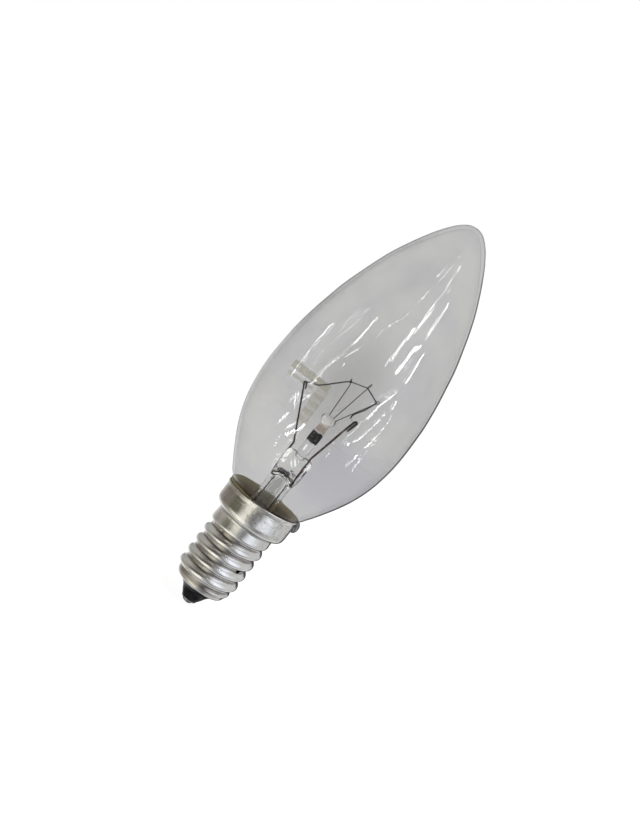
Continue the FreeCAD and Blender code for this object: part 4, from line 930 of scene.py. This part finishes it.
# bore_line runs foot -> top; the lathe above starts at the pole, so the foot ring is its last
ring_m = len(bore_line) - 1
stem_v, stem_f = merge((v, f), (bv, bf))
off = len(v)
# annulus at the foot joins both skins
for i in range(n):
    j = (i + 1) % n
    stem_f.append((i * m, j * m, off + j * ring_m + ring_m - 1, off + i * ring_m + ring_m - 1))
stem_piece = piece("stem_press_glass", stem_v, stem_f, [stem_mat], ["stem_flare"], True)

ex_x = 0.32
ex = [(0, 16.9), (0.35, 16.95), (0.65, 17.1), (0.9, 17.36), (1.08, 17.7), (1.17, 18.05), (1.2, 18.4), (1.2, 24.0), (1.2, 30.0), (1.2, 34.2), (1.2, 34.9), (0.72, 34.9), (0.72, 30.0),
      (0.72, 24.0), (0.72, 18.3), (0.66, 18.05), (0.5, 17.8), (0.3, 17.62), (0, 17.55)]
ex_wave = waves(91, 6, 0.1, 0.4, 0.1)
v, f = lathe(ex, 48, lambda T, R, Z: (R * (1 - 0.012 * (1 + ex_wave(T, Z))), Z), (ex_x, 0))
piece("exhaust_tube_glass", v, f, [tube_mat], ["exhaust_tube"], True)

# ---------------------------------------------------------------- glass rod with its button, getter
cane = [(0, 39.2), (1.0, 39.25), (1.2, 39.4)] + [(1.2, z) for z in np.arange(39.8, 46.2, 0.6)]
cane += natural([(1.2, 46.2), (1.12, 46.8), (1.04, 47.4), (1.08, 48.0), (1.3, 48.5), (1.62, 48.95), (1.78, 49.4), (1.68, 49.85), (1.3, 50.18), (0.8, 50.34), (0.4, 50.37)], 0.12).tolist()
cane += [(0, 50.38)]
cane_wave = waves(101, 10, 0.3, 1.2, 0.12)
v, f = lathe(cane, 72, lambda T, R, Z: (R - (0.02 + 0.05 * smooth(Z, 48.2, 49.0)) * (1 + 0.6 * cane_wave(T, Z)), Z), (stem_x, 0))
cane_piece = piece("cane_glass_rod", v, f, [cane_mat], ["glass_cane"], True)

n = 96
th = np.arange(n) * 2 * np.pi / n
ragged = waves(111, 14, 0.5, 3.0, 0.1)
rows = []
for a in th:
    lo = 43.47 + 0.1 * (1 + math.sin(5 * a + 0.4)) * 0.6 + 0.05 * math.sin(13 * a)
    hi = 46.0 - 0.16 * (1 + math.sin(3 * a + 2.0)) * 0.7 - 0.07 * math.sin(17 * a)
    rows.append([((1.205 + dr) * math.cos(a) + stem_x, (1.205 + dr) * math.sin(a), z) for dr, z in
                 ((0.0, lo + 0.1), (0.0, (lo + hi) / 2), (0.0, hi - 0.1), (0.03, hi), (0.07, hi - 0.12), (0.085, (lo + hi) / 2 + 0.4), (0.08, (lo + hi) / 2 - 0.4), (0.07, lo + 0.15), (0.03, lo))])
v, f = grid(np.array(rows), True, True)
piece("getter_smear", v, f, [getter_mat], ["getter_band"], True)

# ---------------------------------------------------------------- wires
LEAD, LEAD_R, SUP, FIL = 0.2, 0.24, 0.1, 0.16


def vec(p, q):
    d = np.asarray(q, float) - np.asarray(p, float)
    return d / np.linalg.norm(d)


def folded(pts, side, length, r):
    d = vec(pts[-2], pts[-1])
    e = np.asarray(side, float)
    e = e - d * (e @ d)
    e /= np.linalg.norm(e)
    g = r * 1.22
    a = np.asarray(pts[-1], float) + d * g * 0.3
    b = a + e * 2 * g
    return [tuple(q) for q in pts[:-1]] + [tuple(a), tuple(b), tuple(b - d * length)]


left_in = [(-2.42, 0, 38.9), (-2.42, 0, 41.2), (-8.45, -1.5, 52.7)]
right_in = [(2.55, 0, 38.9), (2.55, 0, 40.7), (3.5, -2.2, 45.9), (4.15, -4.15, 49.8), (4.84, -5.6, 53.0)]
c = bend(folded(left_in, (0.8, 0.0, 0.45), 1.5, LEAD), [0.9, LEAD * 1.22, LEAD * 1.22])
# thick with solder glass at its foot, drawn thinner further up
r = LEAD * (1.0 - 0.1 * smooth(c[:, 2], 41.0, 46.0))
v, f = rod(c, r, 16)
piece("lead_left", v, f, [shaded_lead_mat], ["lead_wire_left"], True)
c = bend(folded(right_in, (0.95, 0.3, 0), 3.0, LEAD_R), [1.5, 8, 8, LEAD_R * 1.22, LEAD_R * 1.22])
v, f = rod(c, LEAD_R * (1 - 0.05 * (1 + np.sin(c[:, 2] * 1.3))), 16)
piece("lead_right", v, f, [bright_lead_mat], ["lead_wire_right"], True)
for side, x in (("left", -2.42), ("right", 2.55)):
    z = np.linspace(34.9, 38.9, 24)
    c = np.stack([x + 0 * z, 0 * z, z], 1)
    v, f = rod(c, LEAD * (0.985 - 0.02 * np.sin(z * 7.0) ** 2), 14)
    piece("seal_wire_%s_oxide" % side, v, f, [seal_mat], ["seal_wire_%s" % side], True)

flare_left = [(-2.42, 0, 34.9), (-2.42, 0, 34.35), (-1.28, 0, 33.0), (-1.28, 0, 27.0), (-1.5, 0.3, 21.5), (-1.45, 0.6, 16.0), (-0.1, 0.25, 12.0),
              tuple(to_glass((0.0, 0.0, 8.2))), tuple(to_glass((0.0, 0.0, 0.45)))]
v, f = rod(bend(flare_left, [0.3, 0.8, 3, 6, 4, 4, 1.5], 0.1), 0.17, 12)
piece("outer_lead_to_contact", v, f, [copper_mat], ["outer_lead_contact"], True)
rim_lead = [(2.55, 0, 34.9), (2.55, 0, 34.35), (2.1, 0, 33.0), (2.1, 0, 27.0), (3.0, 0, 22.65), (4.5, 0, 22.42)]
rim_lead += [tuple(to_glass(q)) for q in ((6.6, 0, 22.58), (7.1, 0, 22.66), (7.82, 0, 23.4), (7.88, 0, 27.6), (8.1, 0, 27.85))]
v, f = rod(bend(rim_lead, [0.3, 0.8, 3, 0.9, 1.2, 0.6, 0.5, 0.5, 2.5], 0.1), 0.165, 12)
piece("outer_lead_to_rim", v, f, [copper_mat], ["outer_lead_rim"], True)

# supports, each with a hook round the filament
S1, S2, S3 = np.array([-0.81, 5.8, 58.16]), np.array([2.82, 6.4, 59.3]), np.array([6.21, 3.6, 58.15])
fil = [(-8.72, -1.56, 52.1), (-8.0, -1.3, 52.95), (-5.62, -0.3, 53.86), (-4.18, 1.5, 55.18), (-1.66, 5.0, 57.6), tuple(S1), (1.54, 6.3, 58.87), tuple(S2),
       (4.5, 5.0, 58.74), tuple(S3), (5.08, -0.5, 55.75), (3.65, -4.0, 53.76), (3.62, -5.3, 52.95), (4.5, -5.75, 52.6)]


def hook(base, F, T, g, reach):
    base, F, T = np.asarray(base, float), np.asarray(F, float), np.asarray(T, float)
    T = T / np.linalg.norm(T)
    d = F - base
    d = d - T * (d @ T) * 0.9
    d /= np.linalg.norm(d)
    e = np.cross(T, d)
    e /= np.linalg.norm(e)
    return [tuple(q) for q in (base, F - e * g - d * 0.7, F - e * g + d * (reach + g), F + e * g + d * (reach + g), F + e * g - d * 0.35)]


gap = FIL + SUP + 0.03
for name, base, F, k, reach in (("left", (-0.05, 0.35, 49.5), S1, 5, 0.35), ("middle", (0.95, 0.45, 49.5), S2, 7, 0.95), ("right", (1.4, 0.1, 49.4), S3, 9, 0.35)):
    T = np.asarray(fil[k + 1]) - np.asarray(fil[k - 1])
    v, f = rod(bend(hook(base, F, T, gap, reach), [0.8, gap, gap]), SUP * 0.98, 12)
    piece("support_hook_%s" % name, v, f, [support_mat], ["support_wire_%s" % name], True)

# coiled filament: straight tails in the clamps, the coil between them
line = bend(fil, [0.3, 1.5, 2.0, 1.5, 0.35, 1.2, 0.4, 1.2, 0.4, 3, 1.2, 0.35], 0.05)
d = np.r_[0, np.cumsum(np.linalg.norm(np.diff(line, axis=0), axis=1))]
total = d[-1]
tail = 0.9
s = np.arange(tail, total - tail, 0.0125)
c = np.stack([np.interp(s, d, line[:, k]) for k in range(3)], 1)
t, n1, n2 = frames(c)
turn = 2 * np.pi * s / 0.125
grow = np.minimum(smooth(s, tail, tail + 0.3), 1 - smooth(s, total - tail - 0.3, total - tail))
coil = c + (0.118 * grow)[:, None] * (np.cos(turn)[:, None] * n1 + np.sin(turn)[:, None] * n2)
pre = np.stack([np.interp(np.linspace(0.0, tail, 8)[:-1], d, line[:, k]) for k in range(3)], 1)
post = np.stack([np.interp(np.linspace(total - tail, total, 8)[1:], d, line[:, k]) for k in range(3)], 1)
v, f = rod(np.concatenate([pre, coil, post]), 0.036, 6)
piece("coiled_filament", v, f, [tungsten_mat], ["filament"], True)

# ---------------------------------------------------------------- floor and light
floor_mat, t, out = material("plain_floor")
tc = nd(t, "TexCoord")
dist = nd(t, "VectorMath", {0: tc.outputs["Object"]}, operation="LENGTH").outputs["Value"]
df = nd(t, "BsdfDiffuse", {"Color": (0.2, 0.2, 0.2, 1)})
em = nd(t, "Emission", {"Color": (1, 1, 1, 1), "Strength": 0.915})
ad = nd(t, "AddShader", {0: df.outputs[0], 1: em.outputs[0]})
tr = nd(t, "BsdfTransparent")
fade = step_(t, dist, 0.25, 0.6)
mx = nd(t, "MixShader", {0: fade, 1: ad.outputs[0], 2: tr.outputs[0]})
t.links.new(mx.outputs[0], out.inputs["Surface"])
me = bpy.data.meshes.new("floor_disc")
bm = bmesh.new()
bmesh.ops.create_circle(bm, cap_ends=True, segments=96, radius=0.62)
bm.to_mesh(me)
bm.free()
me.materials.append(floor_mat)
floor = bpy.data.objects.new("floor_disc", me)
floor.location = (0, 0, -0.0004)
bpy.context.scene.collection.objects.link(floor)
floor.visible_glossy = False
floor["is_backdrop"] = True


def direction(az, el):
    """Unit vector, azimuth from the front (-Y) towards +X."""
    a, e = math.radians(az), math.radians(el)
    return Vector((math.sin(a) * math.cos(e), -math.cos(a) * math.cos(e), math.sin(e)))


world = bpy.data.worlds.new("studio")
bpy.context.scene.world = world
world.use_nodes = True
t = world.node_tree
t.nodes.clear()
out = nd(t, "OutputWorld")
tc = nd(t, "TexCoord")
nrm = nd(t, "VectorMath", {0: tc.outputs["Generated"]}, operation="NORMALIZE").outputs[0]
xyz = nd(t, "SeparateXYZ", {0: nrm})
X, Y, Z = xyz.outputs
az = math_(t, "ARCTAN2", X, math_(t, "MULTIPLY", Y, -1.0))  # -pi..pi, 0 at the front
u = math_(t, "ADD", math_(t, "DIVIDE", az, 2 * math.pi), 0.5)


def at(deg):
    return deg / 360.0 + 0.5


# what the metal and the glass mirror: pale and dark screens all round, in three tiers and a top
TINT = {"n": (1, 1, 1), "c": (1.03, 0.99, 0.88), "b": (1.03, 0.98, 0.88), "m": (1.05, 0.95, 0.90), "k": (0.96, 0.99, 1.06), "o": (1.05, 1.0, 0.78)}


def tier(stops):
    top = 1.5
    col = ramp_(t, u, [(at(d), tuple(v / top * c for c in TINT[k])) for d, v, k in stops], "EASE")
    return nd(t, "VectorMath", {0: col, "Scale": top}, operation="SCALE").outputs[0]


upper = tier([(-180, 0.42, "n"), (-150, 0.40, "n"), (-130, 0.42, "n"), (-105, 0.42, "b"), (-85, 0.32, "b"), (-65, 0.18, "m"), (-46, 0.11, "m"), (-30, 0.11, "m"), (-16, 0.14, "b"),
              (-4, 0.22, "b"), (8, 0.34, "n"), (20, 0.56, "n"), (32, 0.92, "k"), (46, 1.12, "k"), (60, 1.0, "k"), (74, 0.84, "k"), (88, 0.68, "n"), (104, 0.60, "n"), (142, 0.60, "n"),
              (158, 0.08, "n"), (176, 0.07, "n")])
middle = tier([(-180, 0.5, "n"), (-160, 0.95, "n"), (-148, 0.7, "n"), (-128, 0.42, "m"), (-105, 0.31, "m"), (-85, 0.33, "b"), (-65, 0.20, "o"), (-50, 0.18, "o"), (-38, 0.40, "c"),
               (-26, 0.80, "c"), (-14, 0.82, "c"), (-5, 0.58, "c"), (3, 0.34, "n"), (12, 0.19, "n"), (21, 0.26, "n"), (30, 0.66, "k"), (42, 0.98, "k"), (58, 0.92, "k"), (72, 0.68, "k"),
               (90, 0.56, "n"), (142, 0.58, "n"), (158, 0.08, "n"), (176, 0.07, "n")])
lower = tier([(-180, 0.6, "n"), (-165, 1.1, "n"), (-150, 0.9, "n"), (-130, 0.45, "b"), (-105, 0.38, "b"), (-85, 0.44, "b"), (-65, 0.66, "c"), (-50, 0.98, "c"), (-30, 1.08, "c"),
              (-14, 0.98, "c"), (0, 0.62, "n"), (12, 0.42, "n"), (24, 0.32, "n"), (44, 0.27, "n"), (60, 0.38, "n"), (74, 0.50, "n"), (104, 0.60, "n"), (142, 0.75, "n"),
              (158, 0.09, "n"), (176, 0.07, "n")])
above = tier([(-180, 0.42, "n"), (-90, 0.38, "b"), (0, 0.40, "n"), (50, 0.58, "k"), (90, 0.68, "k"), (140, 0.58, "n"), (180, 0.42, "n")])
env = mix_(t, step_(t, Z, -0.38, -0.29), lower, middle)
env = mix_(t, step_(t, Z, -0.08, 0.03), env, upper)
env = mix_(t, step_(t, Z, 0.85, 0.98), env, above)
env = mix_(t, step_(t, math_(t, "MULTIPLY", Z, -1.0), 0.88, 0.98), env, (0.58, 0.57, 0.56))
# behind thick glass: pale, with dark upright edges
edge = math_(t, "ABSOLUTE", math_(t, "SUBTRACT", math_(t, "ABSOLUTE", az), math.radians(112)))
band = math_(t, "SUBTRACT", 1.0, step_(t, edge, math.radians(10), math.radians(24)))
thru = mix_(t, band, (1.35, 1.35, 1.35), (0.06, 0.06, 0.065))
lp = nd(t, "LightPath")
col = mix_(t, lp.outputs["Is Transmission Ray"], env, thru)
col = mix_(t, lp.outputs["Is Camera Ray"], col, (1.0, 1.0, 1.0))
bg = nd(t, "Background", {"Color": col, "Strength": 1.0})
t.links.new(bg.outputs[0], out.inputs["Surface"])


def area(name, loc, target, sx, sy, radiance, colour=(1, 1, 1), along=None, glossy=True):
    ld = bpy.data.lights.new(name, "AREA")
    ld.shape = "RECTANGLE"
    ld.size, ld.size_y = sx, sy
    ld.energy = radiance * math.pi * sx * sy
    ld.color = colour
    ob = bpy.data.objects.new(name, ld)
    loc, target = Vector(loc), Vector(target)
    z = (loc - target).normalized()
    x = Vector(along) if along is not None else Vector((0, 0, 1)).cross(z)
    x = (x - z * x.dot(z)).normalized()
    y = z.cross(x)
    ob.matrix_world = Matrix.Translation(loc) @ Matrix((x, y, z)).transposed().to_4x4()
    ob.visible_camera = False
    ob.visible_glossy = glossy
    bpy.context.scene.collection.objects.link(ob)
    return ob


mid = Vector((0, 0, 0.054))
area("soft_key", mid + direction(40, 55) * 0.7, mid, 0.5, 0.5, 3.0, (0.97, 0.98, 1.0), glossy=False)
area("soft_fill", mid + direction(-60, 30) * 0.8, mid, 0.6, 0.5, 1.3, (1.0, 0.97, 0.9), glossy=False)

# small bright lamps far off, mirrored in the glass as streaks: name, ends in mm, width in mm, radiance, number of lengths
strips = [
    ("A", (204, -529, 306), (188, -483, 401), 17, 26, 2), ("B", (342, -472, 263), (412, -368, 336), 34, 28, 3), ("C", (495, -324, 228), (493, -289, 290), 34, 28, 2),
    ("D", (420, -315, 388), (394, -270, 458), 20, 26, 2), ("E", (414, -456, 57), (480, -363, 187), 16, 26, 3), ("F", (548, -274, 96), (531, -294, 152), 22, 26, 2),
    ("G", (440, -405, -94), (524, -321, 70), 11, 22, 3), ("I", (-605, -69, 124), (-592, -55, 208), 15, 26, 2),
    ("J", (-600, -117, 1), (-603, -84, 132), 11, 24, 3), ("K", (-442, -428, 24), (-392, -459, 182), 13, 26, 2), ("L", (-367, -461, 241), (-335, -444, 329), 20, 26, 2),
    ("M", (-438, -312, -250), (-455, -354, -165), 14, 24, 2), ("N", (-306, -410, -293), (-197, -543, -165), 26, 26, 3), ("P", (-181, -535, 310), (-35, -507, 417), 7, 12, 4),
    ("Q", (41, -380, 557), (101, -238, 637), 8, 14, 2), ("R", (-478, -362, -85), (-494, -354, -46), 12, 24, 1), ("S", (-418, -435, -72), (-374, -485, -13), 8, 16, 2),
    ("T1", (-32, -322, 600), (-36, -376, 561), 10, 22, 2), ("T2", (217, -231, 605), (224, -325, 546), 10, 22, 2), ("T3", (290, -293, 531), (278, -337, 506), 12, 22, 1),
    ("T4", (225, -415, 467), (236, -458, 406), 18, 24, 2), ("T5", (-2, -429, 514), (-2, -482, 453), 9, 20, 2), ("T6", (239, -325, 539), (234, -405, 472), 12, 10, 1),
    ("U1", (575, -213, 72), (561, -224, -58), 9, 20, 3), ("U2", (413, -429, -105), (395, -431, -142), 14, 24, 1), ("U3", (543, -234, -115), (520, -226, -186), 12, 22, 2),
    ("U4", (570, -147, -120), (556, -101, -186), 10, 22, 2), ("V1", (-272, -522, 244), (-333, -500, 198), 9, 16, 1), ("V2", (-294, -527, 186), (-280, -539, 166), 14, 24, 1),
    ("X", (-480, -374, -41), (-448, -389, -112), 13, 22, 2)]
lamp_rng = np.random.default_rng(77)
only_glass = bpy.data.collections.new("lamp_receivers")
only_glass.objects.link(envelope)
for name, a, b, w, rad, count in strips:
    a, b = np.array(a, float), np.array(b, float)
    L = np.linalg.norm(b - a)
    across = np.cross(b - a, (a + b) / 2)
    across /= np.linalg.norm(across)
    cuts = (np.arange(count + 1) + np.r_[0, lamp_rng.uniform(-0.22, 0.22, count - 1), 0]) / count if count > 1 else np.array([0.0, 1.0])
    for k in range(count):
        gap_mm = 2.5 if k < count - 1 else 0.0
        off = across * lamp_rng.uniform(-0.28, 0.28) * w if count > 1 else 0.0 * across
        p0 = a + (b - a) * cuts[k] + off
        p1 = a + (b - a) * cuts[k + 1] - (b - a) / L * gap_mm + off * lamp_rng.uniform(-1.0, 1.0)
        q0, q1 = Vector(p0.tolist()) * MM, Vector(p1.tolist()) * MM
        ob = area("lamp_%s_%d" % (name, k), (q0 + q1) / 2, mid, (q1 - q0).length, w * lamp_rng.uniform(0.5, 1.0) * MM, rad * 1.6, (0.96, 0.98, 1.0), along=(q1 - q0))
        ob.visible_diffuse = False
        ob.visible_transmission = False
        ob.light_linking.receiver_collection = only_glass
# a few for the bumpy press
only_stem = bpy.data.collections.new("stem_receivers")
only_stem.objects.link(stem_piece)
for k, (az_, el_, w) in enumerate([(-48, 34, 70), (44, 28, 60), (-14, 58, 80), (18, -14, 50), (-80, 10, 50), (78, 42, 60), (4, 24, 26)]):
    ob = area("glint_%d" % k, mid + direction(az_, el_) * 0.6, mid, w * MM, w * MM * 0.6, 22.0, (1, 1, 1))
    ob.visible_diffuse = False
    ob.visible_transmission = False
    ob.light_linking.receiver_collection = only_stem

# ---------------------------------------------------------------- camera
TAU = math.radians(5.9)
ed, en, zc = Vector((0.6198, 0.7848, 0)), Vector((0.7848, -0.6198, 0)), Vector((0, 0, 1))
gu = ed * math.cos(TAU) + zc * math.sin(TAU)
gw = -ed * math.sin(TAU) + zc * math.cos(TAU)
origin = Vector((20.78 / 4.80, 12.18 / 4.80, -230.0))


def cam_to_row(v):
    """Direction from camera axes to the row frame."""
    g = Vector((v.dot(en), -v.dot(gw), v.dot(gu)))
    return Vector((CT * g.x + ST * g.z, g.y, -ST * g.x + CT * g.z))


place = to_cap((-origin.dot(en), origin.dot(gw), -origin.dot(gu) + 54.04))
cam_data = bpy.data.cameras.new("camera")
cam_data.lens, cam_data.sensor_width, cam_data.sensor_fit = 1104.0 * 36.0 / 827.0, 36.0, "AUTO"
cam_data.clip_start, cam_data.clip_end = 0.01, 10.0
cam = bpy.data.objects.new("camera", cam_data)
axes = Matrix((cam_to_row(Vector((1, 0, 0))), cam_to_row(Vector((0, 1, 0))), cam_to_row(Vector((0, 0, 1))))).transposed()
cam.matrix_world = Matrix.Translation(Vector(place.tolist()) * MM) @ axes.to_4x4()
bpy.context.scene.collection.objects.link(cam)
bpy.context.scene.camera = cam

sc = bpy.context.scene
sc.view_settings.view_transform = "Standard"
sc.view_settings.look = "None"
sc.cycles.max_bounces = 20
sc.cycles.transmission_bounces = 16
sc.cycles.glossy_bounces = 6
sc.cycles.transparent_max_bounces = 40
sc.cycles.blur_glossy = 0.2

lo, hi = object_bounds()
